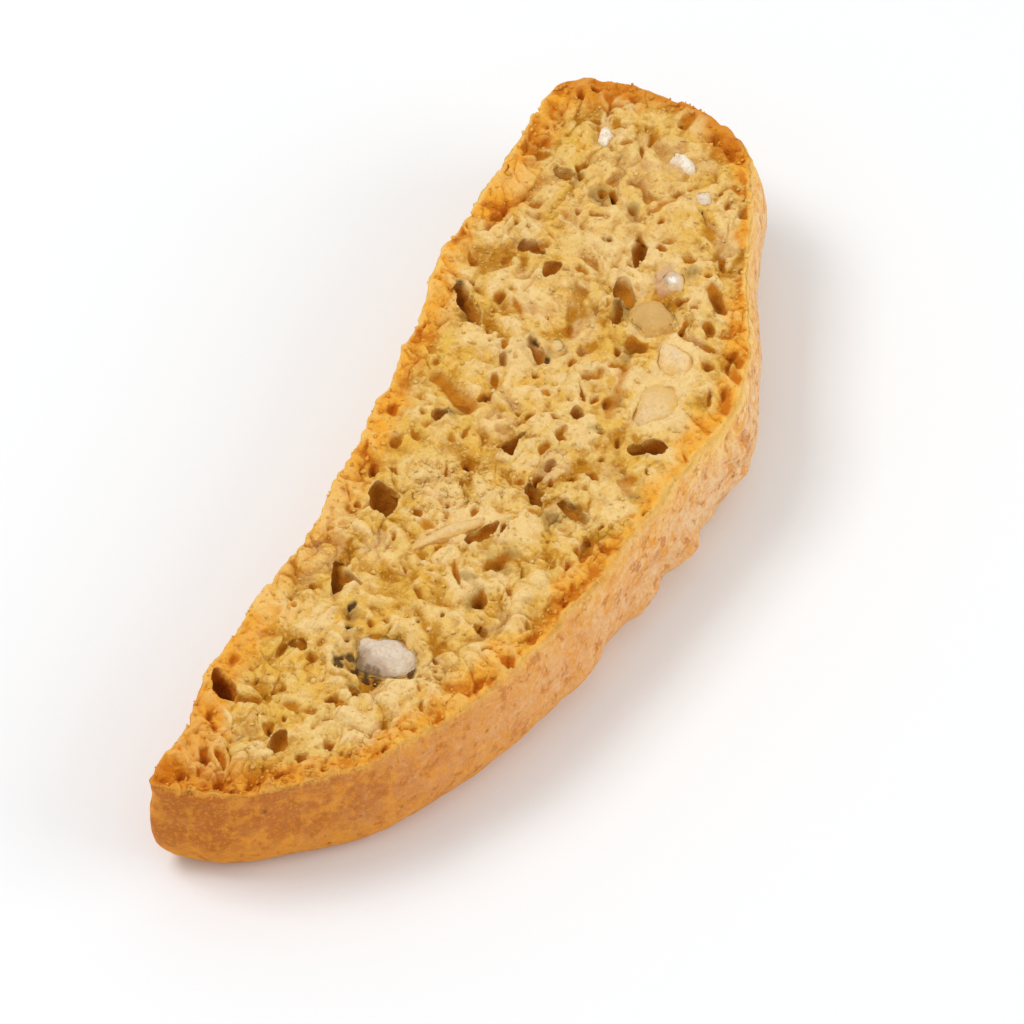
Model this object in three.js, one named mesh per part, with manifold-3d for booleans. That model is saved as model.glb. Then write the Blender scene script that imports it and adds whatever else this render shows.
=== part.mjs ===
// An almond biscotto: one slice cut on the slant from a baked loaf, lying on a cut face.
// Millimetres, +Z up. X runs along the slice from its pointed tip to its blunt end, and the
// straight edge that stood on the baking tray is at +Y. The origin is under the middle of the slice.
import * as THREE from 'three';
import { mergeVertices } from 'three/addons/utils/BufferGeometryUtils.js';
import Module from 'manifold-3d';

const wasm = await Module();
wasm.setup();

// The slice
const sliceThickness = 15;      // at the middle of its length
const thicknessGain = 0.018;    // extra thickness for each millimetre towards the blunt end
const domeBulge = 1.1;          // how far the crust swells out at half height
const trayBulge = 0.2;          // the same on the straight tray side
const plainTip = [-50, -34];    // the swell fades out between these X, towards the tip
const footHeight = 6;           // height of the rounding at the lower edge
const middleShift = 1.49;       // along Y, brings the slice's middle over the origin

// Relief of the cut faces
const cragDepth = 0.8;          // torn crumb, up and down from the cut
const cragSize = 5;
const rimShare = 0.35;          // share of that relief right at the edge, all of it from rimWidth in
const rimWidth = 2;
const grooveDepth = 0.7;        // the crumb sinks just inside the crust
const grooveInset = 2.6;
const grooveWidth = 1.3;
const grooveReach = 9;          // the groove comes and goes over this length
const grooveShare = 0.45;
const capHeight = 0.25;         // the knife leaves little standing above its plane
const capShare = 0.35;
const moat = { reach: 1.15, width: 0.16, share: 0.5 };  // crease round a swelling
const undersideDepth = 1.6;
const undersideStart = 0.1;     // relief below this stays on the flat plane
const restSpot = { x: 0, y: 2, radius: 7 };     // flat here, so that it rests level

// Relief of the crust
const crustSwell = 0.55;
const crustSwellSize = 8;
const trayCalm = 0.6;           // share of it that is missing on the tray side
const trayFacing = [0.6, 0.95]; // a place counts as tray side as its outward Y goes from one to the other
const trayEnds = [46, 38];      // and as its X comes in from the first of these
const swellFade = { below: 1.5, above: 2.5 };   // no swell right under the cut or right over the foot

// Small air holes scattered over each cut face, one chance in each square of this spacing
const poreSpacing = 7.5;
const poreShare = 0.3;
const poreRadius = [0.7, 1.25];
const poreJitter = 0.8;
const poreGap = 1.2;            // clear of other holes and nuts
const poreInset = 3;            // clear of the crust
const poreSides = 6;
const poreShape = { across: 0.7, depth: 1.4 };  // times the radius

// Chopped nuts
const seatGap = 0.35;           // room kept between a nut and its pocket
const nutSink = 0.3;            // share of the half height from the cut down to the nut's middle
const chopReach = [0.64, 0.84]; // distance of a chop from the middle of a ball of radius 1
const chopLean = 0.9;           // most that a chop leans up or down, times chance less chopSlant
const chopSlant = 0.6;
const chopWander = 0.7;         // how far a chop strays from its even place round the nut
const chopFacing = 0.2;         // directions further from the chop than this miss it
const fineNut = 2.5;            // nuts with a longer half size get a finer ball
const nutRoughness = 0.05;

// Mesh steps
const stepsLong = 58;
const stepsWide = 20;
const wallRows = 8;
const holeSides = 8;

// The cut face's outline, anticlockwise from the tip: x, y, and how far the lower edge draws in.
const outline = [
  [-52.6, 15.0, 5.2], [-53.3, 12.0, 5.4], [-51.5, 6.4, 5.0], [-46.8, 0.1, 3.6], [-39.8, -6.0, 2.6],
  [-27.2, -12.1, 2.2], [-14.4, -15.1, 1.9], [-2.6, -16.9, 1.8], [7.0, -17.9, 1.7], [15.8, -19.1, 1.9],
  [24.8, -17.3, 2.0], [34.6, -12.7, 2.2], [43.6, -9.1, 2.4], [49.6, -5.6, 2.6], [52.6, 2.0, 2.8],
  [52.5, 9.6, 2.6], [49.8, 15.8, 2.2], [41.2, 16.9, 1.4], [31.0, 16.8, 1.2], [22.4, 17.5, 1.2],
  [14.0, 15.9, 1.1], [3.4, 14.9, 1.1], [-9.0, 14.4, 1.2], [-20.4, 14.3, 1.4], [-30.6, 15.0, 2.0],
  [-38.8, 15.6, 3.0], [-45.4, 14.2, 4.2],
];
const cornerAt = { tipLow: 3, endLow: 13, endHigh: 16, tipHigh: 0 };
const spineStart = -40;         // the lower edge draws in towards this line along the middle
const spineEnd = 42;
const spineY = 2.5;

// Open holes in the faces: place, half sizes along and across, turn in degrees, and depth.
const upperHoles = [
  { x: -39.0, y: 13.3, along: 2.2, across: 1.15, turn: 50, depth: 4.2 },
  { x: -21.3, y: 8.2, along: 3.3, across: 2.2, turn: 44, depth: 2.6, sides: 3 },
  { x: -9.9, y: 8.7, along: 2.0, across: 1.6, turn: 40, depth: 3.0 },
  { x: 2.8, y: -0.2, along: 2.2, across: 1.1, turn: -12, depth: 2.2, sides: 3 },
  { x: 7.9, y: -13.6, along: 2.2, across: 1.3, turn: -55, depth: 2.8 },
  { x: -2.3, y: -5.3, along: 2.1, across: 1.1, turn: 48, depth: 2.4 },
  { x: -3.0, y: -9.8, along: 1.9, across: 0.7, turn: 80, depth: 1.7, sides: 6 },
  { x: -9.3, y: -3.0, along: 1.7, across: 0.7, turn: -32, depth: 1.8, sides: 6 },
  { x: -13.0, y: -5.9, along: 1.7, across: 0.9, turn: -18, depth: 1.5, sides: 6 },
  { x: 18.3, y: 12.2, along: 2.8, across: 1.0, turn: 56, depth: 2.8 },
  { x: 31.6, y: -1.2, along: 1.9, across: 0.8, turn: 20, depth: 2.2 },
  { x: 24.8, y: -2.5, along: 2.6, across: 0.8, turn: 8, depth: 2.2 },
  { x: 25.6, y: 5.7, along: 1.3, across: 0.8, turn: -10, depth: 1.7, sides: 6 },
  { x: 27.5, y: 9.0, along: 1.7, across: 0.9, turn: 66, depth: 1.9, sides: 6 },
  { x: 15.2, y: 2.8, along: 1.6, across: 0.8, turn: 40, depth: 1.7, sides: 6 },
  { x: -43.3, y: 5.0, along: 1.4, across: 1.0, turn: 20, depth: 1.7, sides: 6 },
  { x: 30.2, y: -10.9, along: 1.9, across: 0.9, turn: 40, depth: 1.5, sides: 6 },
  { x: 9.2, y: -5.1, along: 1.0, across: 0.6, turn: 60, depth: 1.5, sides: 6 },
];
const lowerHoles = [
  { x: -31.0, y: 6.0, along: 2.2, across: 1.4, turn: 35, depth: 2.6 },
  { x: -12.5, y: -7.0, along: 2.6, across: 1.3, turn: -30, depth: 2.4 },
  { x: 14.5, y: 9.0, along: 2.0, across: 1.3, turn: 70, depth: 2.8 },
  { x: 33.0, y: -4.5, along: 2.4, across: 1.2, turn: 15, depth: 2.2 },
  { x: 41.0, y: 6.5, along: 1.7, across: 1.1, turn: -50, depth: 2.0 },
];

// Low swellings of dough over nuts that lie just under the cut: centre, half sizes, turn, height.
const swellings = [
  { x: 24.2, y: 6.4, along: 6.6, across: 4.0, turn: 100, rise: 0.9 },
  { x: 5.0, y: 2.3, along: 2.6, across: 1.8, turn: 20, rise: 0.7 },
  { x: -32.6, y: -3.1, along: 3.3, across: 1.8, turn: -35, rise: 0.6 },
  { x: -15.8, y: -6.0, along: 3.2, across: 1.2, turn: 68, rise: 0.5 },
];

// Folds in the baked crust on the rounded side: where along X, height, half sizes and rise.
const crustFolds = [
  { x: 5.5, z: 4.6, along: 3.6, high: 3.0, rise: 1.3 },
  { x: -2.2, z: 3.8, along: 3.2, high: 2.6, rise: 1.0 },
  { x: -14.0, z: 4.4, along: 4.2, high: 2.8, rise: 0.6 },
  { x: 19.0, z: 6.5, along: 5.0, high: 3.6, rise: 0.7 },
];

// Nut pieces that show in the cuts. proud is how far the cut nut stands out of the crumb.
const nuts = [
  { name: 'nut_near_tip', x: -28.3, y: 0.1, size: [3.9, 3.1, 3.0], turn: 84, proud: 0.4, facets: 5, seed: 11 },
  { name: 'nut_sliver', x: -10.7, y: 0.5, size: [5.2, 0.95, 2.4], turn: -39, proud: 0.4, facets: 4, seed: 12 },
  { name: 'nut_pale_chunk', x: 13.4, y: -11.6, size: [4.0, 2.7, 2.6], turn: 8, proud: 0.5, facets: 6, seed: 13 },
  { name: 'nut_pale_ridge', x: 20.1, y: -10.8, size: [3.2, 2.1, 2.6], turn: 62, proud: 0.7, facets: 3, seed: 14 },
  { name: 'nut_round_skinned', x: 24.4, y: -6.3, size: [3.0, 2.7, 2.8], turn: 20, proud: 0.7, facets: 1, seed: 15 },
  { name: 'nut_bright_chip', x: 29.6, y: -6.3, size: [2.0, 1.4, 1.8], turn: 40, proud: 0.45, facets: 5, seed: 16 },
  { name: 'nut_crescent_bit', x: 16.9, y: 1.2, size: [1.3, 1.0, 1.4], turn: 30, proud: 0.1, facets: 4, seed: 20 },
  { name: 'nut_end_flake', x: 44.9, y: -0.6, size: [2.4, 1.0, 1.8], turn: 70, proud: 0.4, facets: 4, seed: 17 },
  { name: 'nut_end_chip_high', x: 44.7, y: 8.5, size: [1.5, 1.2, 1.6], turn: 20, proud: 0.4, facets: 5, seed: 18 },
  { name: 'nut_end_chip_low', x: 41.3, y: -4.5, size: [1.4, 1.1, 1.5], turn: 35, proud: 0.4, facets: 5, seed: 19 },
  { name: 'nut_under_half', x: -21.0, y: 3.5, size: [4.4, 2.8, 2.8], turn: 25, proud: 0, under: true, facets: 3, seed: 21 },
  { name: 'nut_under_chip', x: -36.5, y: -0.5, size: [2.0, 1.4, 1.8], turn: 70, proud: 0, under: true, facets: 5, seed: 22 },
  { name: 'nut_under_chunk', x: 21.5, y: -8.0, size: [3.0, 2.1, 2.4], turn: -35, proud: 0, under: true, facets: 5, seed: 23 },
  { name: 'nut_under_sliver', x: 28.5, y: 6.0, size: [4.2, 1.1, 2.2], turn: 60, proud: 0, under: true, facets: 4, seed: 24 },
];

// One repeatable random number from 0 to 1 for each whole-number place.
function chance(ix, iy, iz, seed) {
  let n = Math.imul(ix, 374761393) + Math.imul(iy, 668265263) + Math.imul(iz, 915488749);
  n = (n + Math.imul(seed, 1442695041)) | 0;
  n = Math.imul(n ^ (n >>> 13), 1274126177);
  return ((n ^ (n >>> 16)) >>> 0) / 4294967296;
}

// Smooth noise from -1 to 1, one cell per unit.
function noise(x, y, z, seed) {
  const [ix, iy, iz] = [Math.floor(x), Math.floor(y), Math.floor(z)];
  const ease = (t) => t * t * (3 - 2 * t);
  const [fx, fy, fz] = [ease(x - ix), ease(y - iy), ease(z - iz)];
  let sum = 0;
  for (let corner = 0; corner < 8; corner++) {
    const [cx, cy, cz] = [corner & 1, (corner >> 1) & 1, corner >> 2];
    const weight = (cx ? fx : 1 - fx) * (cy ? fy : 1 - fy) * (cz ? fz : 1 - fz);
    sum += weight * chance(ix + cx, iy + cy, iz + cz, seed);
  }
  return sum * 2 - 1;
}

// Noise at a size and at half that size, added.
function crags(x, y, z, size, seed) {
  return (noise(x / size, y / size, z / size, seed)
    + 0.5 * noise(2 * x / size, 2 * y / size, 2 * z / size, seed + 1)) / 1.5;
}

function smoothStep(low, high, value) {
  const t = Math.min(1, Math.max(0, (value - low) / (high - low)));
  return t * t * (3 - 2 * t);
}

// How far (x, y) is from a turned ellipse's middle: 0 at the middle, 1 on its edge.
function ellipseReach(x, y, shape) {
  const turn = THREE.MathUtils.degToRad(shape.turn);
  const [dx, dy] = [x - shape.x, y - shape.y];
  const along = (dx * Math.cos(turn) + dy * Math.sin(turn)) / shape.along;
  const across = (dy * Math.cos(turn) - dx * Math.sin(turn)) / shape.across;
  return Math.hypot(along, across);
}

function topHeight(x) {
  return sliceThickness + thicknessGain * x;
}

// A bell curve: 1 at the middle, falling off over the width.
function bell(value, middle, width) {
  return Math.exp(-(((value - middle) / width) ** 2));
}

// The top face's relief, up from its plane. edge is the distance in from the crust.
function upperRelief(x, y, edge) {
  const inFromRim = rimShare + (1 - rimShare) * smoothStep(0, rimWidth, edge);
  let rise = cragDepth * crags(x, y, 0, cragSize, 1) * inFromRim;
  const grooveHere = Math.max(0, grooveShare + noise(x / grooveReach, y / grooveReach, 5, 3));
  rise -= grooveDepth * bell(edge, grooveInset, grooveWidth) * grooveHere;
  for (const lump of swellings) {
    const reach = ellipseReach(x, y, lump);
    rise += lump.rise * Math.max(0, 1 - reach * reach);
    rise -= moat.share * lump.rise * bell(reach, moat.reach, moat.width);
  }
  return rise > capHeight ? capHeight + capShare * (rise - capHeight) : rise;
}

// The underside's relief, up into the slice from the plane it rests on.
function lowerRelief(x, y, edge) {
  const calm = smoothStep(1, 1.5, Math.hypot(x - restSpot.x, y - restSpot.y) / restSpot.radius);
  const rise = undersideDepth * Math.max(0, crags(x, y, 40, cragSize, 7) - undersideStart);
  return rise * calm * smoothStep(0, rimWidth, edge);
}

// Points at even steps along a stretch of a closed curve.
function evenPoints(curve, from, to, steps) {
  const fine = 240;
  const points = [];
  for (let i = 0; i <= fine; i++) {
    points.push(curve.getPoint((from + (to - from) * i / fine) % 1));
  }
  const run = [0];
  for (let i = 1; i <= fine; i++) run.push(run[i - 1] + points[i].distanceTo(points[i - 1]));
  const found = [];
  let at = 0;
  for (let k = 0; k <= steps; k++) {
    const want = run[fine] * k / steps;
    while (at < fine - 1 && run[at + 1] < want) at++;
    const share = (want - run[at]) / (run[at + 1] - run[at]);
    found.push(points[at].clone().lerp(points[at + 1], share));
  }
  return found;
}

// The four sides of a ring, each running the way its grid side does.
function ringSides(points) {
  const curve = new THREE.CatmullRomCurve3(points, true, 'catmullrom', 0.5);
  const place = (corner) => corner / points.length;
  const { tipLow, endLow, endHigh, tipHigh } = cornerAt;
  return {
    low: evenPoints(curve, place(tipLow), place(endLow), stepsLong),
    end: evenPoints(curve, place(endLow), place(endHigh), stepsWide),
    high: evenPoints(curve, place(endHigh), place(tipHigh + points.length), stepsLong).reverse(),
    tip: evenPoints(curve, place(tipHigh), place(tipLow), stepsWide).reverse(),
  };
}

// A grid of points stretched between four sides (a Coons patch).
function patchPoint(sides, i, j) {
  const [u, v] = [i / stepsLong, j / stepsWide];
  const [lowTip, lowEnd] = [sides.low[0], sides.low[stepsLong]];
  const [highTip, highEnd] = [sides.high[0], sides.high[stepsLong]];
  const blend = (axis) => (1 - v) * sides.low[i][axis] + v * sides.high[i][axis]
    + (1 - u) * sides.tip[j][axis] + u * sides.end[j][axis]
    - (1 - u) * (1 - v) * lowTip[axis] - u * (1 - v) * lowEnd[axis]
    - (1 - u) * v * highTip[axis] - u * v * highEnd[axis];
  return new THREE.Vector3(blend('x'), blend('y'), 0);
}

// The grid's border places in order: along low, up the end, back along high, down the tip.
function borderPlaces() {
  const places = [];
  for (let i = 0; i < stepsLong; i++) places.push([i, 0]);
  for (let j = 0; j < stepsWide; j++) places.push([stepsLong, j]);
  for (let i = stepsLong; i > 0; i--) places.push([i, stepsWide]);
  for (let j = stepsWide; j > 0; j--) places.push([0, j]);
  return places;
}

function outlineRings() {
  const top = outline.map(([x, y]) => new THREE.Vector3(x, y, 0));
  const foot = outline.map(([x, y, inset]) => {
    const point = new THREE.Vector3(x, y, 0);
    const spine = new THREE.Vector3(THREE.MathUtils.clamp(x, spineStart, spineEnd), spineY, 0);
    return point.addScaledVector(spine.sub(point).normalize(), inset);
  });
  return { top: ringSides(top), foot: ringSides(foot) };
}

function nearestEdge(point, border) {
  let nearest = Infinity;
  for (const mark of border) nearest = Math.min(nearest, Math.hypot(point.x - mark.x, point.y - mark.y));
  return nearest;
}

// How much of a place faces the tray: 1 along the straight side, 0 elsewhere.
function trayShare(rim, outward) {
  return smoothStep(...trayFacing, outward.y) * smoothStep(...trayEnds, Math.abs(rim.x));
}

// The crust between the two rings at one place round the slice and one height.
function crustPoint(rim, foot, outward, row) {
  const height = topHeight(rim.x);
  const straight = wallRows / 2;
  let z;
  let drawn = 0;
  if (row <= straight) {
    z = height - (height - footHeight) * row / straight;
  } else {
    const angle = (Math.PI / 2) * (row - straight) / (wallRows - straight);
    z = footHeight * (1 - Math.sin(angle));
    drawn = 1 - Math.cos(angle);
  }
  const onTray = trayShare(rim, outward);
  const bulge = THREE.MathUtils.lerp(domeBulge, trayBulge, onTray) * smoothStep(...plainTip, rim.x);
  let swell = crustSwell * (1 - trayCalm * onTray) * crags(rim.x, rim.y, z, crustSwellSize, 5);
  if (outward.y < 0) {
    for (const fold of crustFolds) {
      const reach = Math.hypot((rim.x - fold.x) / fold.along, (z - fold.z) / fold.high);
      swell += fold.rise * Math.max(0, 1 - reach * reach);
    }
  }
  swell *= smoothStep(0, swellFade.below, height - z) * smoothStep(0, swellFade.above, z);
  const point = rim.clone().lerp(foot, drawn);
  point.addScaledVector(outward, bulge * Math.sin(Math.PI * z / height) + swell);
  point.z = z;
  return point;
}

function outwardAt(border, k) {
  const before = border[(k + border.length - 1) % border.length];
  const after = border[(k + 1) % border.length];
  return new THREE.Vector3(after.y - before.y, before.x - after.x, 0).normalize();
}

// The slice as one closed mesh: a grid on each cut face and rows of crust between their borders.
function sliceGeometry() {
  const rings = outlineRings();
  const places = borderPlaces();
  const rim = places.map(([i, j]) => patchPoint(rings.top, i, j));
  const foot = places.map(([i, j]) => patchPoint(rings.foot, i, j));
  const positions = [];
  const faces = [];
  const addPoint = (p) => positions.push(p.x, p.y, p.z) / 3 - 1;
  const addQuad = (a, b, c, d) => faces.push(a, b, c, a, c, d);

  const grid = (sides, border, heightAt) => {
    const ids = [];
    for (let i = 0; i <= stepsLong; i++) {
      ids.push([]);
      for (let j = 0; j <= stepsWide; j++) {
        const p = patchPoint(sides, i, j);
        p.z = heightAt(p, nearestEdge(p, border));
        ids[i].push(addPoint(p));
      }
    }
    return ids;
  };
  const upper = grid(rings.top, rim, (p, edge) => topHeight(p.x) + upperRelief(p.x, p.y, edge));
  const lower = grid(rings.foot, foot, (p, edge) => lowerRelief(p.x, p.y, edge));
  for (let i = 0; i < stepsLong; i++) {
    for (let j = 0; j < stepsWide; j++) {
      addQuad(upper[i][j], upper[i + 1][j], upper[i + 1][j + 1], upper[i][j + 1]);
      addQuad(lower[i][j], lower[i][j + 1], lower[i + 1][j + 1], lower[i + 1][j]);
    }
  }

  let above = places.map(([i, j]) => upper[i][j]);
  for (let row = 1; row <= wallRows; row++) {
    const below = row === wallRows
      ? places.map(([i, j]) => lower[i][j])
      : rim.map((p, k) => addPoint(crustPoint(p, foot[k], outwardAt(rim, k), row)));
    for (let k = 0; k < places.length; k++) {
      const next = (k + 1) % places.length;
      addQuad(above[next], above[k], below[k], below[next]);
    }
    above = below;
  }
  return meshGeometry(positions, faces);
}

function meshGeometry(positions, faces) {
  const geometry = new THREE.BufferGeometry();
  geometry.setAttribute('position', new THREE.Float32BufferAttribute(positions, 3));
  geometry.setIndex(faces);
  return geometry;
}

// The flat chops that shape a nut: spread round it, each with its own lean and distance.
function nutChops(nut) {
  const chops = [];
  for (let k = 0; k < nut.facets; k++) {
    const angle = 2 * Math.PI * (k + chopWander * chance(k, 0, 0, nut.seed)) / nut.facets;
    const lean = chopLean * (chance(k, 1, 0, nut.seed) - chopSlant);
    const flat = new THREE.Vector3(Math.cos(angle), Math.sin(angle), lean).normalize();
    chops.push({ flat, reach: THREE.MathUtils.lerp(...chopReach, chance(k, 2, 0, nut.seed)) });
  }
  return chops;
}

// A chopped nut: an ellipsoid with a few flat chops, sliced off level with the crumb.
function nutGeometry(nut, { gap = 0, sliced = true } = {}) {
  const ball = new THREE.IcosahedronGeometry(1, nut.size[0] > fineNut ? 2 : 1);
  ball.deleteAttribute('normal');
  ball.deleteAttribute('uv');
  const geometry = mergeVertices(ball, 1e-4);
  const chops = nutChops(nut);
  const turn = THREE.MathUtils.degToRad(nut.turn);
  const side = nut.under ? -1 : 1;
  const faceHeight = nut.under ? 0 : topHeight(nut.x);
  const centre = new THREE.Vector3(nut.x, nut.y, faceHeight - side * nutSink * nut.size[2]);
  const place = geometry.attributes.position;
  for (let i = 0; i < place.count; i++) {
    const p = new THREE.Vector3().fromBufferAttribute(place, i);
    let reach = 1 + nutRoughness * noise(2 * p.x, 2 * p.y, 2 * p.z, nut.seed);
    for (const chop of chops) {
      const facing = p.dot(chop.flat);
      if (facing > chopFacing) reach = Math.min(reach, chop.reach / facing);
    }
    p.multiplyScalar(reach);
    p.set(p.x * (nut.size[0] + gap), p.y * (nut.size[1] + gap), p.z * (nut.size[2] + gap));
    p.applyAxisAngle(new THREE.Vector3(0, 0, 1), turn).add(centre);
    if (sliced) {
      const level = faceHeight + side * nut.proud;
      p.z = nut.under ? Math.max(p.z, level) : Math.min(p.z, level);
    }
    place.setXYZ(i, p.x, p.y, p.z);
  }
  return geometry;
}

// Small air holes by a seeded rule, clear of the crust, the nuts and the larger holes.
function scatteredPores(border, kept, seed) {
  const pores = [];
  for (let i = -7; i <= 7; i++) {
    for (let j = -3; j <= 3; j++) {
      if (chance(i, j, 0, seed) > poreShare) continue;
      const radius = THREE.MathUtils.lerp(...poreRadius, chance(i, j, 1, seed));
      const pore = {
        x: poreSpacing * (i + poreJitter * (chance(i, j, 2, seed) - 0.5)),
        y: poreSpacing * (j + poreJitter * (chance(i, j, 3, seed) - 0.5)),
        along: radius, across: poreShape.across * radius, depth: poreShape.depth * radius,
        turn: 180 * chance(i, j, 4, seed), sides: poreSides,
      };
      const clear = kept.every((other) => Math.hypot(other.x - pore.x, other.y - pore.y)
        > poreGap + radius + (other.along ?? other.size[0]));
      if (clear && insideBorder(pore, border) && nearestEdge(pore, border) > poreInset) pores.push(pore);
    }
  }
  return pores;
}

function insideBorder(point, border) {
  let inside = false;
  for (let k = 0; k < border.length; k++) {
    const [a, b] = [border[k], border[(k + 1) % border.length]];
    const crosses = (a.y > point.y) !== (b.y > point.y)
      && point.x < a.x + (b.x - a.x) * (point.y - a.y) / (b.y - a.y);
    if (crosses) inside = !inside;
  }
  return inside;
}

// An open hole in a cut face: a ball of few sides, stretched, turned and sunk half into it.
function holeGeometry(hole, level) {
  const sides = hole.sides ?? holeSides;
  const ball = new THREE.SphereGeometry(1, sides, Math.max(4, sides / 2 + 1)).rotateX(Math.PI / 2);
  ball.deleteAttribute('normal');
  ball.deleteAttribute('uv');
  const geometry = mergeVertices(ball, 1e-4);
  geometry.rotateZ(Math.PI);
  geometry.scale(hole.along, hole.across, hole.depth);
  geometry.rotateZ(THREE.MathUtils.degToRad(hole.turn));
  geometry.translate(hole.x, hole.y, level);
  return geometry;
}

function toSolid(geometry) {
  const vertProperties = new Float32Array(geometry.attributes.position.array);
  const triVerts = new Uint32Array(geometry.index.array);
  return new wasm.Manifold(new wasm.Mesh({ numProp: 3, vertProperties, triVerts }));
}

function toGeometry(solid) {
  const { vertProperties, triVerts } = solid.getMesh();
  return meshGeometry(Array.from(vertProperties), Array.from(triVerts));
}

function carvedSlice() {
  const rings = outlineRings();
  const rim = borderPlaces().map(([i, j]) => patchPoint(rings.top, i, j));
  const foot = borderPlaces().map(([i, j]) => patchPoint(rings.foot, i, j));
  const keptAbove = [...upperHoles, ...nuts.filter((nut) => !nut.under)];
  const keptBelow = [...lowerHoles, ...nuts.filter((nut) => nut.under), { ...restSpot, along: 5 }];
  const above = [...upperHoles, ...scatteredPores(rim, keptAbove, 31)];
  const below = [...lowerHoles, ...scatteredPores(foot, keptBelow, 32)];
  let solid = toSolid(sliceGeometry());
  for (const hole of above) solid = solid.subtract(toSolid(holeGeometry(hole, topHeight(hole.x))));
  for (const hole of below) solid = solid.subtract(toSolid(holeGeometry(hole, 0)));
  for (const nut of nuts) {
    solid = solid.subtract(toSolid(nutGeometry(nut, { gap: seatGap, sliced: false })));
  }
  return toGeometry(solid);
}

const bakedDough = new THREE.MeshStandardMaterial({ color: 0xd8a556, roughness: 0.9, metalness: 0 });
const nutMeat = new THREE.MeshStandardMaterial({ color: 0xe2cba6, roughness: 0.65, metalness: 0 });

const biscotto = new THREE.Group();
biscotto.position.y = middleShift;
const dough = new THREE.Mesh(carvedSlice(), bakedDough);
dough.name = 'baked_slice';
biscotto.add(dough);
for (const nut of nuts) {
  const mesh = new THREE.Mesh(nutGeometry(nut), nutMeat);
  mesh.name = nut.name;
  biscotto.add(mesh);
}

export default biscotto;
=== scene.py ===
# An almond biscotto: one slice of a twice-baked loaf, lying on a cut face on a pale floor.
# Shapes are worked out in millimetres with +Z up, then go into the scene in metres.
import math

import bpy
import numpy as np
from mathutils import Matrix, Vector


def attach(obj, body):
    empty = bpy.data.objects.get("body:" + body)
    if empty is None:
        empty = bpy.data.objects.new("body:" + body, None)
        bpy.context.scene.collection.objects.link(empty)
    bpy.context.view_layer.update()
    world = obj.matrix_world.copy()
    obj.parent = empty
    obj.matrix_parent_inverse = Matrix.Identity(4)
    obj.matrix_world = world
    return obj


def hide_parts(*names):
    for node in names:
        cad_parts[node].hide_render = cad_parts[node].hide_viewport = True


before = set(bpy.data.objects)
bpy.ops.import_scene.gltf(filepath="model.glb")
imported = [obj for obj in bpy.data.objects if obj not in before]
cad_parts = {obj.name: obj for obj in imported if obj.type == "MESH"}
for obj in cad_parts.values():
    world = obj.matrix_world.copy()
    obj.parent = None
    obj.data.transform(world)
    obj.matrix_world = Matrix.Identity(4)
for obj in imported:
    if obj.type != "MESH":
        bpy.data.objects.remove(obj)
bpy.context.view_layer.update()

millimetre = 0.001

# The slice: its cut outline and the crust round it
biscuit = {
    "thickness": 15.0,          # at the middle of its length
    "thicknessGain": 0.018,     # extra for each millimetre towards the blunt end
    "domeBulge": 1.1,           # how far the crust swells out at half height
    "trayBulge": 0.2,           # the same on the straight side, which stood on the tray
    "plainTip": (-50.0, -34.0),  # the swell fades out between these X, towards the tip
    "footHeight": 6.0,          # height of the rounding at the lower edge
    "rimRound": 0.4,            # radius of the cut's worn edge
    "rimDepth": 1.6,            # how far down the crust's most closely spaced rows go
    "browning": (22.0, -38.0),  # the crust browns from the first X to full at the second, and on past it
    "middleShift": 1.49,        # brings the slice's middle over the origin
    # x, y, and how far the lower edge draws in, anticlockwise from the tip
    "outline": [
        (-52.6, 15.0, 5.2), (-53.3, 12.0, 5.4), (-51.5, 6.4, 5.0), (-46.8, 0.1, 3.6), (-39.8, -6.0, 2.6),
        (-27.2, -12.1, 2.2), (-14.4, -15.1, 1.9), (-2.6, -16.9, 1.8), (7.0, -17.9, 1.7), (15.8, -19.1, 1.9),
        (24.8, -17.3, 2.0), (34.6, -12.7, 2.2), (43.6, -9.1, 2.4), (49.6, -5.6, 2.6), (52.6, 2.0, 2.8),
        (52.5, 9.6, 2.6), (49.8, 15.8, 2.2), (41.2, 16.9, 1.4), (31.0, 16.8, 1.2), (22.4, 17.5, 1.2),
        (14.0, 15.9, 1.1), (3.4, 14.9, 1.1), (-9.0, 14.4, 1.2), (-20.4, 14.3, 1.4), (-30.6, 15.0, 2.0),
        (-38.8, 15.6, 3.0), (-45.4, 14.2, 4.2),
    ],
    "tipLow": 3, "endLow": 13, "endHigh": 16, "tipHigh": 27,   # where the outline's four sides meet
    "spineStart": -40.0, "spineEnd": 42.0, "spineY": 2.5,      # the lower edge draws in towards this line
    "stepsLong": 760, "stepsWide": 252,                         # grid on the upper face
    "rimRows": 5, "wallRows": 30, "footRows": 20,
    "triangles": 196000,                                        # the finished mesh is thinned to this
}

# Fields: each takes whole arrays of places in millimetres

# chance(i, j, k) = the mixed bits of a whole-number place, as a number from 0 to 1
def chance(ix, iy, iz, seed):
    ix, iy, iz = (np.asarray(i).astype(np.int64).astype(np.uint32) for i in (ix, iy, iz))
    bits = ix * np.uint32(374761393) + iy * np.uint32(668265263) + iz * np.uint32(915488749)
    bits = bits + np.uint32(seed * 1442695041 % 4294967296)
    bits = (bits ^ (bits >> np.uint32(13))) * np.uint32(1274126177)
    return (bits ^ (bits >> np.uint32(16))) / 4294967296


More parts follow.
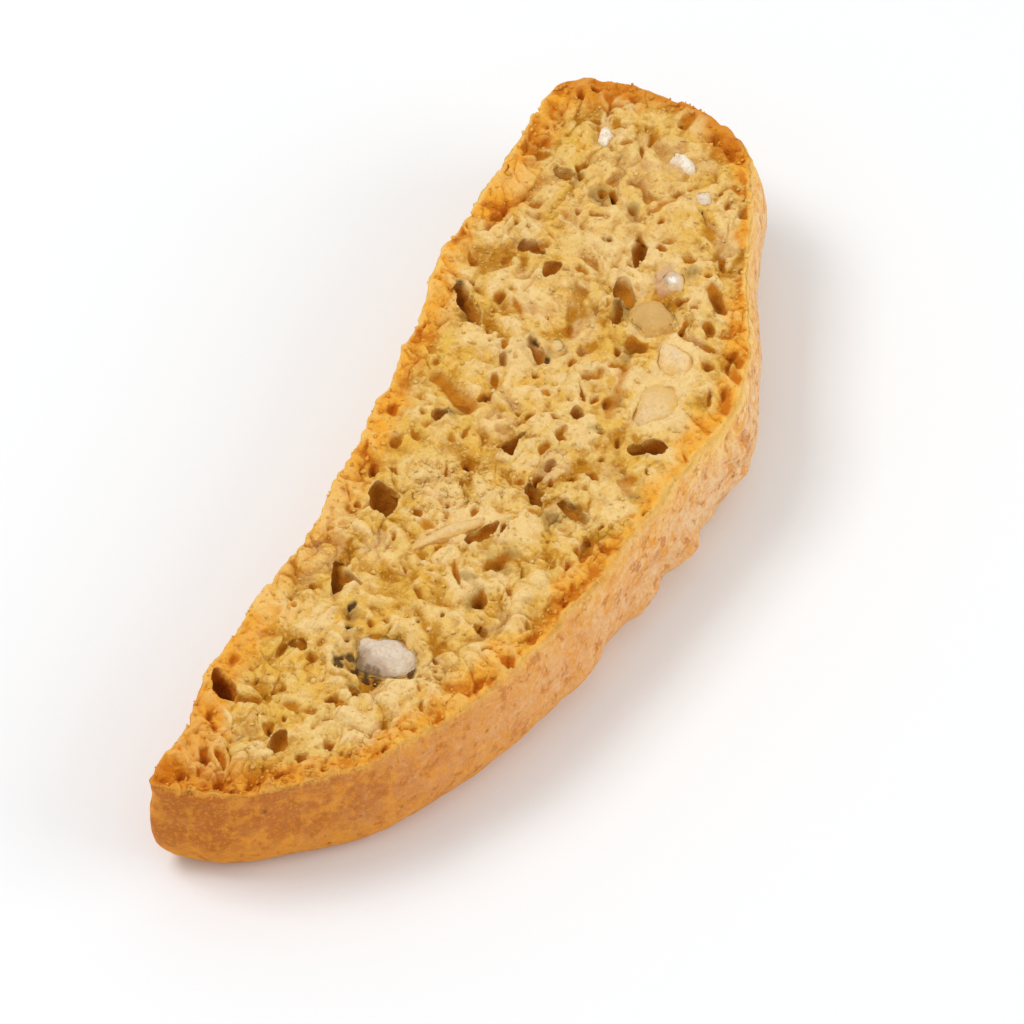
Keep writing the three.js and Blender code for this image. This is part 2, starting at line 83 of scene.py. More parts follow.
# noise(p) = 2 * sum over the cell's 8 corners of weight * chance - 1, weights eased by t*t*(3 - 2t)
def noise(x, y, z, seed):
    x, y, z = np.broadcast_arrays(x, y, z)
    corner = [np.floor(a) for a in (x, y, z)]
    ease = [(a - c) ** 2 * (3 - 2 * (a - c)) for a, c in zip((x, y, z), corner)]
    total = np.zeros(x.shape)
    for step in range(8):
        sides = [step & 1, (step >> 1) & 1, step >> 2]
        weight = np.ones(x.shape)
        for side, share in zip(sides, ease):
            weight = weight * (share if side else 1 - share)
        total += weight * chance(*(c + s for c, s in zip(corner, sides)), seed)
    return 2 * total - 1


# crags(p) = (noise(p / size) + noise(2p / size) / 2) / 1.5
def crags(x, y, z, size, seed):
    fine = noise(2 * x / size, 2 * y / size, 2 * np.asarray(z) / size, seed + 1)
    return (noise(x / size, y / size, np.asarray(z) / size, seed) + 0.5 * fine) / 1.5


# wavy = value + the sum over its layers of amount * noise(p / size); a layer is an amount, a size and a seed
def wavy(value, x, y, z, layers):
    for amount, size, seed in layers:
        value = value + amount * noise(x / size, y / size, z, seed)
    return value


# smoothStep(v) = t*t*(3 - 2t), t going from 0 at low to 1 at high
def smoothStep(low, high, value):
    t = np.clip((value - low) / (high - low), 0, 1)
    return t * t * (3 - 2 * t)


# mix = a + (b - a) * share
def mix(a, b, share):
    return a + (b - a) * share


# bell(v) = exp(-((v - middle) / width)^2)
def bell(value, middle, width):
    return np.exp(-((value - middle) / width) ** 2)


# cells(p): distance to the nearest jittered centre of a unit grid, and a chance for its cell
def cells(x, y, seed):
    ix, iy = np.floor(x), np.floor(y)
    first, own = np.full(x.shape, 9.0), np.zeros(x.shape)
    for stepX in (-1, 0, 1):
        for stepY in (-1, 0, 1):
            cx, cy = ix + stepX, iy + stepY
            dx = x - (cx + 0.1 + 0.8 * chance(cx, cy, 1, seed))
            dy = y - (cy + 0.1 + 0.8 * chance(cx, cy, 2, seed))
            away = np.hypot(dx, dy)
            nearer = away < first
            first = np.where(nearer, away, first)
            own = np.where(nearer, chance(cx, cy, 3, seed), own)
    return first, own


# ellipsePlane(p) = p less the middle, turned back, over the half sizes: an ellipse's edge is then at 1
def ellipsePlane(x, y, cx, cy, along, across, turn):
    angle = math.radians(turn)
    dx, dy = x - cx, y - cy
    return ((dx * math.cos(angle) + dy * math.sin(angle)) / along,
            (dy * math.cos(angle) - dx * math.sin(angle)) / across)


# ellipseReach(p) = length in the ellipse's plane: 0 in the middle, 1 on the edge
def ellipseReach(x, y, cx, cy, along, across, turn):
    return np.hypot(*ellipsePlane(x, y, cx, cy, along, across, turn))


# cornerReach(p) = the greatest distance along a side's normal over the sides' own, worn at the corners
def cornerReach(u, v, corners):
    inner = math.cos(math.pi / corners)
    sharp = 7.0
    total = 0.0
    for k in range(corners):
        angle = math.pi + (2 * k + 1) * math.pi / corners
        total = total + np.exp(sharp * (u * math.cos(angle) + v * math.sin(angle)) / inner)
    return np.log(total) / sharp


# lineDistance(p) = the least distance to any stretch of a line through a few points
def lineDistance(x, y, points):
    found = np.full(x.shape, 99.0)
    for (ax, ay), (bx, by) in zip(points[:-1], points[1:]):
        lengthX, lengthY = bx - ax, by - ay
        t = ((x - ax) * lengthX + (y - ay) * lengthY) / (lengthX ** 2 + lengthY ** 2)
        t = np.clip(t, 0, 1)
        found = np.minimum(found, np.hypot(x - ax - t * lengthX, y - ay - t * lengthY))
    return found


# the upper cut's height = thickness + gain * x
def topHeight(x):
    return biscuit["thickness"] + biscuit["thicknessGain"] * x


# The outline and its grids

# curve(t) = Catmull-Rom through the closed list of points, t counted in points
def curvePoint(points, t):
    count = len(points)
    start = np.floor(t).astype(int)
    w = (t - start)[:, None]
    p0, p1, p2, p3 = (points[(start + k) % count] for k in (-1, 0, 1, 2))
    return (p1 + 0.5 * w * (p2 - p0) + w ** 2 * (p0 - 2.5 * p1 + 2 * p2 - 0.5 * p3)
            + w ** 3 * (1.5 * (p1 - p2) + 0.5 * (p3 - p0)))


# points at even steps of the length run along the curve
def evenPoints(points, start, end, steps):
    fine = curvePoint(points, np.linspace(start, end, 4000))
    run = np.concatenate([[0], np.cumsum(np.linalg.norm(np.diff(fine, axis=0), axis=1))])
    want = np.linspace(0, run[-1], steps + 1)
    return np.stack([np.interp(want, run, fine[:, axis]) for axis in (0, 1)], axis=1)


# S(u, v) = (1-v) low(u) + v high(u) + (1-u) tip(v) + u end(v), less the blend of the four corners
def patchGrid(points, stepsLong, stepsWide):
    b = biscuit
    low = evenPoints(points, b["tipLow"], b["endLow"], stepsLong)[:, None]
    end = evenPoints(points, b["endLow"], b["endHigh"], stepsWide)[None]
    high = evenPoints(points, b["endHigh"], b["tipHigh"], stepsLong)[::-1][:, None]
    tip = evenPoints(points, b["tipHigh"], b["tipLow"] + len(points), stepsWide)[::-1][None]
    u = np.linspace(0, 1, stepsLong + 1)[:, None, None]
    v = np.linspace(0, 1, stepsWide + 1)[None, :, None]
    return ((1 - v) * low + v * high + (1 - u) * tip + u * end
            - (1 - u) * (1 - v) * low[0] - u * (1 - v) * low[-1] - (1 - u) * v * high[0] - u * v * high[-1])


# The grid's border in order: along low, up the end, back along high, down the tip
def borderOf(grid):
    return np.concatenate([grid[:-1, 0], grid[-1, :-1], grid[:0:-1, -1], grid[0, :0:-1]])


# edgeDistance(p) = the distance to the nearest border point, some thousands of places at a time
def edgeDistance(places, border):
    found = np.empty(len(places))
    for start in range(0, len(places), 4000):
        part = places[start:start + 4000, None] - border[None]
        found[start:start + 4000] = np.sqrt((part ** 2).sum(axis=2).min(axis=1))
    return found


# inside if a line from the place towards +X crosses the border an odd number of times
def insideBorder(x, y, border):
    ax, ay = border[:, 0], border[:, 1]
    bx, by = np.roll(ax, -1), np.roll(ay, -1)
    crosses = ((ay > y) != (by > y)) & (x < ax + (bx - ax) * (y - ay) / (by - ay + 1e-12))
    return crosses.sum() % 2 == 1


# Relief of the cut faces

# lump = height * (2 |noise| - 1/2): round on top with a crease where the noise crosses nought
def lumps(x, y, layer, size, height, seed):
    return height * (2 * np.abs(noise(x / size, y / size, layer, seed)) - 0.5)


# chunk(p) = the mean of each near cell's own step and tilt, weighted by exp(-15 * distance), less a crease
# where no one cell has most of the weight
def chunks(x, y, step, tilt, crease, seed):
    ix, iy = np.floor(x), np.floor(y)
    total, weights, most = np.zeros(x.shape), np.zeros(x.shape), np.zeros(x.shape)
    for stepX in (-1, 0, 1):
        for stepY in (-1, 0, 1):
            cx, cy = ix + stepX, iy + stepY
            dx = x - (cx + 0.1 + 0.8 * chance(cx, cy, 1, seed))
            dy = y - (cy + 0.1 + 0.8 * chance(cx, cy, 2, seed))
            weight = np.exp(-15 * np.hypot(dx, dy)) + 1e-12
            slopeX, slopeY = chance(cx, cy, 3, seed) - 0.5, chance(cx, cy, 4, seed) - 0.5
            own = step * (chance(cx, cy, 5, seed) - 0.5) + 2 * tilt * (slopeX * dx + slopeY * dy)
            total += weight * own
            weights += weight
            most = np.maximum(most, weight)
    parted = smoothStep(-0.1, 0.5, noise(x * 0.45, y * 0.45, 8, seed + 7))
    return total / weights - crease * parted * (1 - smoothStep(0.5, 0.85, most / weights))


# Fine relief of the crumb
crumb = {
    "lumps": [(3.5, 0.34), (1.7, 0.28), (0.8, 0.13)],     # size and height, round lumps with creases
    "chunks": [(4.2, 0.54, 0.36, 0.38), (2.1, 0.30, 0.32, 0.25)],   # size, step, tilt, crease of torn chunks
    "strandHeight": 0.34, "strandWidth": 1.2, "strandLength": 4.6, "strandTurn": 66,
    "tearDepth": 0.8, "tearSize": 1.9,
    "sandHeight": 0.24, "sandSize": 0.72,
    "sandAt": (-6.5, 3.6, 7.5, 4.2, 12),     # x, y, half sizes and turn of the sandiest place
}


# The torn crumb's fine relief, and how deep its tears are from 0 to 1
def tornCrumb(x, y, edge, seed):
    c = crumb
    bentX = wavy(x, x, y, 7, [(0.75, 3.1, seed), (0.24, 1.1, seed + 1)])
    bentY = wavy(y, x, y, 9, [(0.75, 3.1, seed + 2), (0.24, 1.1, seed + 3)])
    rough = 0.6 + 0.4 * smoothStep(-0.3, 0.4, noise(x / 7, y / 7, 2, seed + 4))
    rise = 0.0
    for layer, (size, step, tilt, crease) in enumerate(c["chunks"]):
        rise = rise + chunks(bentX / size, bentY / size, step, tilt, crease, seed + 30 + layer)
    for layer, (size, height) in enumerate(c["lumps"]):
        rise = rise + rough * lumps(bentX, bentY, layer, size, height, seed + 10 + layer)
    # strands run side by side in some places
    along, across = ellipsePlane(bentX, bentY, 0, 0, c["strandLength"], c["strandWidth"], c["strandTurn"])
    strandy = smoothStep(0.05, 0.45, noise(x / 6.5, y / 6.5, 3, seed + 5))
    rise = rise + strandy * lumps(across, along, 4, 1.0, c["strandHeight"], seed + 6)
    # tears: the deepest parts of two noises
    tear = noise(bentX / c["tearSize"], bentY / c["tearSize"], 5, seed + 7)
    tear = tear + 0.5 * noise(2.1 * bentX / c["tearSize"], 2.1 * bentY / c["tearSize"], 5, seed + 8)
    torn = smoothStep(0.66, 1.15, tear) * smoothStep(0.2, 0.9, edge)
    rise = rise - c["tearDepth"] * torn
    # sand: a dome for each grain
    first, own = cells(bentX / c["sandSize"], bentY / c["sandSize"], seed + 9)
    sandy = 0.5 * smoothStep(0.25, 0.6, noise(x / 6, y / 6, 6, seed + 20))
    sandy = np.maximum(sandy, 1 - smoothStep(0.5, 1.1, ellipseReach(x, y, *c["sandAt"])))
    dome = np.sqrt(np.maximum(0, 1 - (first / 0.62) ** 2)) - 0.5
    rise = rise + sandy * c["sandHeight"] * dome * (0.5 + 0.5 * own)
    return rise, torn


# Broad relief of the two cut faces
relief = {
    "cragDepth": 0.8, "cragSize": 5.0,       # torn crumb, up and down from the cut
    "grooveDepth": 0.7, "grooveInset": 2.6,  # the crumb sinks just inside the crust
    "capHeight": 0.25, "capShare": 0.35,     # the knife leaves little standing above its plane
    "undersideDepth": 1.6, "undersideStart": 0.1,
    "restX": 0.0, "restY": 2.0, "restRadius": 7.0,
}

# Low swellings of dough over nuts just under the cut: x, y, half sizes, turn in degrees, rise
swellings = [
    (24.2, 6.4, 6.6, 4.0, 100, 0.9), (5.0, 2.3, 2.6, 1.8, 20, 0.7), (-32.6, -3.1, 3.3, 1.8, -35, 0.6),
    (-15.8, -6.0, 3.2, 1.2, 68, 0.5), (12.8, 5.4, 2.8, 0.9, 98, 0.5), (7.8, 3.6, 1.9, 0.7, 62, 0.45),
    (-4.2, -7.7, 1.7, 0.8, 0, 0.45), (-17.2, -10.4, 2.4, 1.6, 25, 0.5), (14.6, -2.6, 5.2, 2.0, 18, 0.4),
    (-5.6, 3.4, 2.6, 1.2, 60, 0.4), (-21.4, 2.0, 2.4, 1.2, 70, 0.4), (34.4, 5.6, 3.0, 1.8, 80, 0.5),
    (40.8, 0.6, 2.8, 1.4, 75, 0.45), (-41.0, 8.2, 2.6, 1.4, 30, 0.45), (30.6, 4.6, 2.2, 1.4, 110, 0.4),
    (1.4, 6.6, 2.2, 1.3, 40, 0.4), (44.6, 6.2, 2.4, 1.3, 60, 0.4), (-26.4, 10.2, 3.0, 1.2, 15, 0.4),
]


# rise = crags, less a groove inside the crust, plus a dome for each swelling and less a dip round it
def upperRelief(x, y, edge):
    r = relief
    rise = r["cragDepth"] * crags(x, y, 0, r["cragSize"], 1) * (0.35 + 0.65 * smoothStep(0, 2, edge))
    groove = bell(edge, r["grooveInset"], 1.3)
    rise -= r["grooveDepth"] * groove * np.maximum(0, 0.45 + noise(x / 9, y / 9, 5, 3))
    for *ellipse, lump in swellings:
        reach = ellipseReach(x, y, *ellipse)
        rise += lump * np.maximum(0, 1 - reach ** 2)
        rise -= 0.5 * lump * bell(reach, 1.15, 0.16)
    return rise


# rise = what of the crags is above a level, fading out at the crust and where the slice rests
def lowerRelief(x, y, edge):
    r = relief
    away = np.hypot(x - r["restX"], y - r["restY"]) / r["restRadius"]
    rise = r["undersideDepth"] * np.maximum(0, crags(x, y, 40, r["cragSize"], 7) - r["undersideStart"])
    return rise * smoothStep(1, 1.5, away) * smoothStep(0, 2, edge)


# Small air holes from coarse to fine: spacing, share of squares with one, radii, depth over radius
bubbles = [
    {"spacing": 4.3, "share": 0.52, "radius": (0.42, 0.95), "depth": (1.0, 1.8), "seed": 51},
    {"spacing": 2.2, "share": 0.46, "radius": (0.24, 0.52), "depth": (0.8, 1.5), "seed": 52},
    {"spacing": 1.15, "share": 0.36, "radius": (0.15, 0.32), "depth": (0.6, 1.2), "seed": 53},
]


# scattered bubbles: depth = radius * deep * (1 - reach^2)^0.7, the deepest one at each place
def bubbleDepth(x, y, rule, crowd):
    spacing, seed = rule["spacing"], rule["seed"]
    ix, iy = np.floor(x / spacing), np.floor(y / spacing)
    deepest = np.zeros(x.shape)
    for stepX in (-1, 0, 1):
        for stepY in (-1, 0, 1):
            cx, cy = ix + stepX, iy + stepY
            there = smoothStep(0, 0.25, rule["share"] * crowd - chance(cx, cy, 0, seed) + 0.12)
            radius = mix(*rule["radius"], chance(cx, cy, 1, seed) ** 1.5)
            dx = x - spacing * (cx + 0.5 + 0.8 * (chance(cx, cy, 2, seed) - 0.5))
            dy = y - spacing * (cy + 0.5 + 0.8 * (chance(cx, cy, 3, seed) - 0.5))
            angle = math.pi * chance(cx, cy, 4, seed)
            narrow = mix(0.45, 0.95, chance(cx, cy, 5, seed))
            across = (dy * np.cos(angle) - dx * np.sin(angle)) / narrow
            reach = np.hypot(dx * np.cos(angle) + dy * np.sin(angle), across) / radius
            deep = there * radius * mix(*rule["depth"], chance(cx, cy, 6, seed)) * narrow
            deepest = np.maximum(deepest, deep * np.maximum(0, 1 - reach ** 2) ** 0.7)
    return deepest


# The walls of holes and pockets
hollowWall = {
    "lean": 0.4,         # how far a hole's wall leans out under its edge, in radians
    "bumps": 0.16,       # bumps on the wall, as a share of the radius
    "lipReach": 1.08, "lipWidth": 0.12, "lipHeight": 0.12,   # a fine raised lip just outside
    "straight": 0.25,    # a pocket goes straight down over this share of its wall
    "fullDepth": 2.4,    # a hole this deep is as dark as they get
}


# Open holes and nut pockets. Each keeps, for every place, the deepest hollow's way out and down:
# a place at reach 1 stays, and one further in goes down a wall that bulges out under the edge.
class Hollows:
    def __init__(self, x, y):
        self.x, self.y = x, y
        self.moveX, self.moveY, self.down, self.lip = (np.zeros(x.shape) for _ in range(4))

    # along the wall by t = 1 - reach: radius cos(a) / cos(lean), depth sin(a) + sin(lean), a from -lean to 90
    # degrees, with bumps in the radius. The lip is highest just outside.
    def addHole(self, hole, bentX, bentY):
        cx, cy, along, across, turn, depth, corners = hole
        u, v = ellipsePlane(bentX, bentY, cx, cy, along, across, turn)
        reach = cornerReach(u, v, corners) if corners else np.hypot(u, v)
        lean = hollowWall["lean"]
        a = mix(-lean, math.pi / 2, np.clip(1 - reach, 0, 1))
        down = depth * (np.sin(a) + math.sin(lean)) / (1 + math.sin(lean))
        inside = (reach < 1) & (down > self.down)
        reach = np.maximum(reach, 1e-3)
        bumps = noise(2.4 * u / reach, 2.4 * v / reach, down / 0.9, 91) * np.clip(5 * (1 - reach), 0, 1)
        share = np.cos(a) * (1 + hollowWall["bumps"] * bumps) / math.cos(lean) / reach - 1
        self.lip = np.maximum(self.lip, bell(reach, hollowWall["lipReach"], hollowWall["lipWidth"]))
        self.moveX = np.where(inside, (self.x - cx) * share, self.moveX)
        self.moveY = np.where(inside, (self.y - cy) * share, self.moveY)
        self.down = np.where(inside, down, self.down)

    # a pocket: straight down to the nut's middle, then a bowl round its lower half
    def addPocket(self, nut, reach):
        qx, qy = nutPlane(nut, self.x, self.y)
        t = np.clip(1 - reach, 0, 1)
        wall = hollowWall["straight"]
        a = np.clip((t - wall) / (1 - wall), 0, 1) * math.pi / 2
        half = nut["size"][2]
        down = nutSink * half * np.clip(t / wall, 0, 1) + 1.06 * half * np.sin(a)
        inside = reach < 1
        share = np.where(inside, np.cos(a) / np.maximum(reach, 1e-6) - 1, 0)
        angle = math.radians(nut["turn"])
        mx, my = share * qx * nut["size"][0], share * qy * nut["size"][1]
        self.moveX = np.where(inside, mx * math.cos(angle) - my * math.sin(angle), self.moveX)
        self.moveY = np.where(inside, mx * math.sin(angle) + my * math.cos(angle), self.moveY)
        self.down = np.where(inside, down, self.down)


# Middling holes: spacing, share of squares with one, radii, how far they stray
pores = {"spacing": 7.5, "share": 0.3, "radius": (0.7, 1.25), "jitter": 0.8}


# scattered by the same seeded rule as the solid's, clear of the crust, the nuts and the larger holes
def scatteredPores(border, kept, seed):
    rule = pores
    found = []
    for i in range(-7, 8):
        for j in range(-3, 4):
            if chance(i, j, 0, seed) > rule["share"]:
                continue
            radius = float(mix(*rule["radius"], chance(i, j, 1, seed)))
            x = float(rule["spacing"] * (i + rule["jitter"] * (chance(i, j, 2, seed) - 0.5)))
            y = float(rule["spacing"] * (j + rule["jitter"] * (chance(i, j, 3, seed) - 0.5)))
            clear = all(math.hypot(kx - x, ky - y) > 1.2 + radius + size for kx, ky, size in kept)
            edge = np.hypot(border[:, 0] - x, border[:, 1] - y).min()
            if clear and insideBorder(x, y, border) and edge > 3:
                turn = float(180 * chance(i, j, 4, seed))
                found.append((x, y, radius, 0.7 * radius, turn, 1.4 * radius, 0))
    return found


# Chopped almonds: place, half sizes, turn, how far the cut stands proud, chops, seed. white is how pale
# the meat is, tan how much like the dough, skin how much brown skin shows, dust how much crumb clings,
# dome how gently, in millimetres, the cut rounds off into the sides, slant how steep its chopped facets are
# and bulge how far its top falls from the middle to the edge. Only some have these: glint, a painted
# highlight, whitens the middle, fade whitens one end as a painted highlight and turns the other more like the
# dough, lap replaces pocketLap, and bury lifts the dough round the nut.
nuts = {
    "nut_near_tip": {
        "at": (-28.3, 0.1), "size": (3.9, 3.1, 3.0), "turn": 84, "proud": 0.6, "chops": 5, "seed": 11,
        "white": 0.9, "tan": 0.0, "skin": 1.0, "dust": 0.12, "dome": 0.4, "slant": 0.22, "bulge": 0.6,
        "lap": 0.0,
    },
    "nut_sliver": {
        "at": (-10.7, 0.5), "size": (5.2, 0.95, 2.4), "turn": -39, "proud": 0.5, "chops": 4, "seed": 12,
        "white": 0.15, "tan": 0.35, "skin": 0.1, "dust": 0.9, "dome": 0.2, "slant": 0.2, "bulge": 0.1,
    },
    "nut_pale_chunk": {
        "at": (13.4, -11.6), "size": (4.0, 2.7, 2.6), "turn": 8, "proud": 0.7, "chops": 6, "seed": 13,
        "white": 0.15, "tan": 0.3, "skin": 0.0, "dust": 0.95, "dome": 0.18, "slant": 0.34, "bulge": 0.35,
        "bury": 0.5, "fade": 0.45,
    },
    "nut_pale_ridge": {
        "at": (20.1, -10.8), "size": (3.2, 2.1, 2.6), "turn": 62, "proud": 1.0, "chops": 3, "seed": 14,
        "white": 0.15, "tan": 0.0, "skin": 0.0, "dust": 0.85, "dome": 0.14, "slant": 0.5, "bulge": 0.3,
        "bury": 0.4, "glint": 0.3,
    },
    "nut_round_skinned": {
        "at": (24.4, -6.3), "size": (3.0, 2.7, 2.8), "turn": 20, "proud": 1.0, "chops": 1, "seed": 15,
        "white": 0.0, "tan": 0.95, "skin": 0.15, "dust": 0.8, "dome": 0.4, "slant": 0.12, "bulge": 1.8,
        "bury": 0.35,
    },
    "nut_bright_chip": {
        "at": (29.6, -6.3), "size": (2.0, 1.4, 1.8), "turn": 40, "proud": 0.6, "chops": 5, "seed": 16,
        "white": 0.7, "tan": 0.0, "skin": 0.7, "dust": 0.9, "dome": 0.16, "slant": 0.4, "bulge": 0.1,
        "glint": 1.3,
    },
    "nut_crescent_bit": {
        "at": (16.9, 1.2), "size": (1.3, 1.0, 1.4), "turn": 30, "proud": 0.1, "chops": 4, "seed": 20,
        "white": 0.1, "tan": 0.4, "skin": 0.0, "dust": 0.9, "dome": 0.25, "slant": 0.3, "bulge": 0.3,
    },
    "nut_end_flake": {
        "at": (44.9, -0.6), "size": (2.4, 1.0, 1.8), "turn": 70, "proud": 0.5, "chops": 4, "seed": 17,
        "white": 1.4, "tan": 0.0, "skin": 0.0, "dust": 0.55, "dome": 0.12, "slant": 0.4, "bulge": 0.1,
    },
    "nut_end_chip_high": {
        "at": (44.7, 8.5), "size": (1.5, 1.2, 1.6), "turn": 20, "proud": 0.6, "chops": 5, "seed": 18,
        "white": 1.5, "tan": 0.0, "skin": 0.0, "dust": 0.5, "dome": 0.12, "slant": 0.5, "bulge": 0.15,
    },
    "nut_end_chip_low": {
        "at": (41.3, -4.5), "size": (1.4, 1.1, 1.5), "turn": 35, "proud": 0.5, "chops": 5, "seed": 19,
        "white": 1.2, "tan": 0.0, "skin": 0.0, "dust": 0.6, "dome": 0.12, "slant": 0.5, "bulge": 0.15,
    },
    "nut_under_half": {
        "at": (-21.0, 3.5), "size": (4.4, 2.8, 2.8), "turn": 25, "proud": 0, "chops": 3, "seed": 21,
        "white": 0.7, "tan": 0.1, "skin": 0.8, "dust": 0.5, "dome": 0.16, "slant": 0.0, "bulge": 0.0,
    },
    "nut_under_chip": {
        "at": (-36.5, -0.5), "size": (2.0, 1.4, 1.8), "turn": 70, "proud": 0, "chops": 5, "seed": 22,
        "white": 0.6, "tan": 0.2, "skin": 0.5, "dust": 0.6, "dome": 0.16, "slant": 0.0, "bulge": 0.0,
    },
    "nut_under_chunk": {
        "at": (21.5, -8.0), "size": (3.0, 2.1, 2.4), "turn": -35, "proud": 0, "chops": 5, "seed": 23,
        "white": 0.5, "tan": 0.3, "skin": 0.6, "dust": 0.5, "dome": 0.16, "slant": 0.0, "bulge": 0.0,
    },
    "nut_under_sliver": {
        "at": (28.5, 6.0), "size": (4.2, 1.1, 2.2), "turn": 60, "proud": 0, "chops": 4, "seed": 24,
        "white": 0.4, "tan": 0.3, "skin": 0.5, "dust": 0.7, "dome": 0.16, "slant": 0.0, "bulge": 0.0,
    },
}
nutRows, nutColumns = 64, 96   # points on a nut's ball, up it and round it
nutSink = 0.3     # share of a nut's half height from the cut down to its middle
pocketLap = 0.27  # share of a nut's width that the dough laps over at its edge
nutLip = 0.25     # the dough meets a nut this far below its top, and lower where the nut is domed


# turned and scaled so that the nut is a unit ball before its chops
def nutPlane(nut, x, y):
    return ellipsePlane(x, y, *nut["at"], *nut["size"][:2], nut["turn"])


# each chop is a flat side: its normal, a little up or down from level, and its distance from the middle
def nutChops(nut):
    chops = []
    for k in range(nut["chops"]):
        angle = 2 * math.pi * (k + 0.7 * float(chance(k, 0, 0, nut["seed"]))) / nut["chops"]
        tilt = 0.9 * (float(chance(k, 1, 0, nut["seed"])) - 0.6)
        flat = Vector((math.cos(angle), math.sin(angle), tilt)).normalized()
        chops.append((flat, 0.64 + 0.2 * float(chance(k, 2, 0, nut["seed"]))))
    return chops


# reach(direction) = the least of 1 and each chop's distance / (direction . its normal)
def nutReach(nut, dx, dy, dz):
    reach = np.ones(np.broadcast(dx, dy, dz).shape)
    for flat, distance in nutChops(nut):
        facing = dx * flat.x + dy * flat.y + dz * flat.z
        reach = np.minimum(reach, distance / np.maximum(facing, 0.2) + np.where(facing > 0.2, 0, 9))
    return reach


# ragged(a) = 1 + two noises round a circle
def nutRagged(nut, angle):
    c, s, seed = np.cos(angle), np.sin(angle), nut["seed"]
    return 1 + 0.12 * noise(1.5 * c, 1.5 * s, 0, seed + 5) + 0.045 * noise(3.4 * c, 3.4 * s, 1, seed + 6)


# width(a) = the greatest level reach over eight slopes, times ragged(a)
def nutWidth(nut, angle):
    widest = np.zeros(angle.shape)
    for slope in np.linspace(-0.9, 0.5, 8):
        level = math.cos(slope)
        reach = nutReach(nut, level * np.cos(angle), level * np.sin(angle), math.sin(slope))
        widest = np.maximum(widest, reach * level)
    return widest * nutRagged(nut, angle)


# edge reach = distance in the nut's plane over its width: 1 on the nut's widest outline
def nutEdgeReach(nut, x, y):
    qx, qy = nutPlane(nut, x, y)
    return np.hypot(qx, qy) / nutWidth(nut, np.arctan2(qy, qx))


# Building meshes

# the mesh is thinned while it is in millimetres, where small faces still count, then scaled to metres
def makeMesh(name, places, faces, marks, triangles=None):
    mesh = bpy.data.meshes.new(name)
    mesh.from_pydata(places.tolist(), [], faces)
    for mark, values in marks.items():
        layer = mesh.attributes.new(mark, "FLOAT", "POINT")
        layer.data.foreach_set("value", np.ascontiguousarray(values, dtype=np.float32))
    piece = bpy.data.objects.new(name, mesh)
    bpy.context.scene.collection.objects.link(piece)
    if triangles:
        whole = sum(len(face) - 2 for face in faces)
        thin = piece.modifiers.new("thin", "DECIMATE")
        thin.ratio = triangles / whole
        thin.use_collapse_triangulate = True
        mesh = bpy.data.meshes.new_from_object(piece.evaluated_get(bpy.context.evaluated_depsgraph_get()))
        mesh.name = name
        piece.modifiers.clear()
        piece.data = mesh
    points = np.empty(3 * len(mesh.vertices), dtype=np.float32)
    mesh.vertices.foreach_get("co", points)
    mesh.vertices.foreach_set("co", points * millimetre)
    mesh.polygons.foreach_set("use_smooth", np.ones(len(mesh.polygons), dtype=bool))
    mesh.update()
    return piece


# one quad for each square of a grid of points
def gridQuads(ids):
    return np.stack([ids[:-1, :-1], ids[1:, :-1], ids[1:, 1:], ids[:-1, 1:]], axis=-1).reshape(-1, 4)


# one quad for each step round two rings of as many points
def ringQuads(above, below):
    return np.stack([np.roll(above, -1), above, below, np.roll(below, -1)], axis=-1)


# browned(x) = 0 at the first X of the browning, 1 at the second and on past it
def browned(x):
    light, dark = biscuit["browning"]
    return np.maximum(0, (x - light) / (dark - light))


# Open holes: x, y, half sizes along and across, turn in degrees, depth, corners (0 for a round one)
upperHoles = [
    (-39.0, 13.3, 2.2, 1.15, 50, 4.2, 0), (-20.9, 8.2, 3.5, 2.0, 224, 2.6, 3),
    (-9.9, 8.7, 2.0, 1.6, 40, 3.0, 0), (2.8, -0.2, 2.5, 1.5, 163, 2.3, 3),
    (7.9, -13.6, 2.2, 1.3, -55, 2.8, 0), (-2.4, -5.1, 1.9, 0.9, 42, 2.3, 0),
    (-3.0, -9.8, 1.9, 0.7, 80, 1.7, 0), (-9.8, -2.8, 2.1, 0.9, -36, 1.9, 0),
    (26.2, -2.2, 1.6, 0.85, 38, 2.0, 0), (18.3, 12.2, 2.7, 0.75, 56, 2.3, 0),
    (31.6, -1.2, 1.9, 0.8, 20, 2.2, 0), (23.4, -2.7, 1.6, 0.5, 6, 1.7, 0),
    (25.6, 5.7, 1.3, 0.8, -10, 1.7, 0), (27.5, 9.0, 1.7, 0.9, 66, 1.9, 0),
    (15.2, 2.8, 1.6, 0.8, 40, 1.7, 0), (-43.3, 5.0, 1.4, 1.0, 20, 1.7, 0),
    (9.2, -5.1, 1.0, 0.6, 60, 1.5, 0),
]
lowerHoles = [
    (-31.0, 6.0, 2.2, 1.4, 35, 2.6, 0), (-12.5, -7.0, 2.6, 1.3, -30, 2.4, 0),
    (14.5, 9.0, 2.0, 1.3, 70, 2.8, 0), (33.0, -4.5, 2.4, 1.2, 15, 2.2, 0),
    (41.0, 6.5, 1.7, 1.1, -50, 2.0, 0),
]
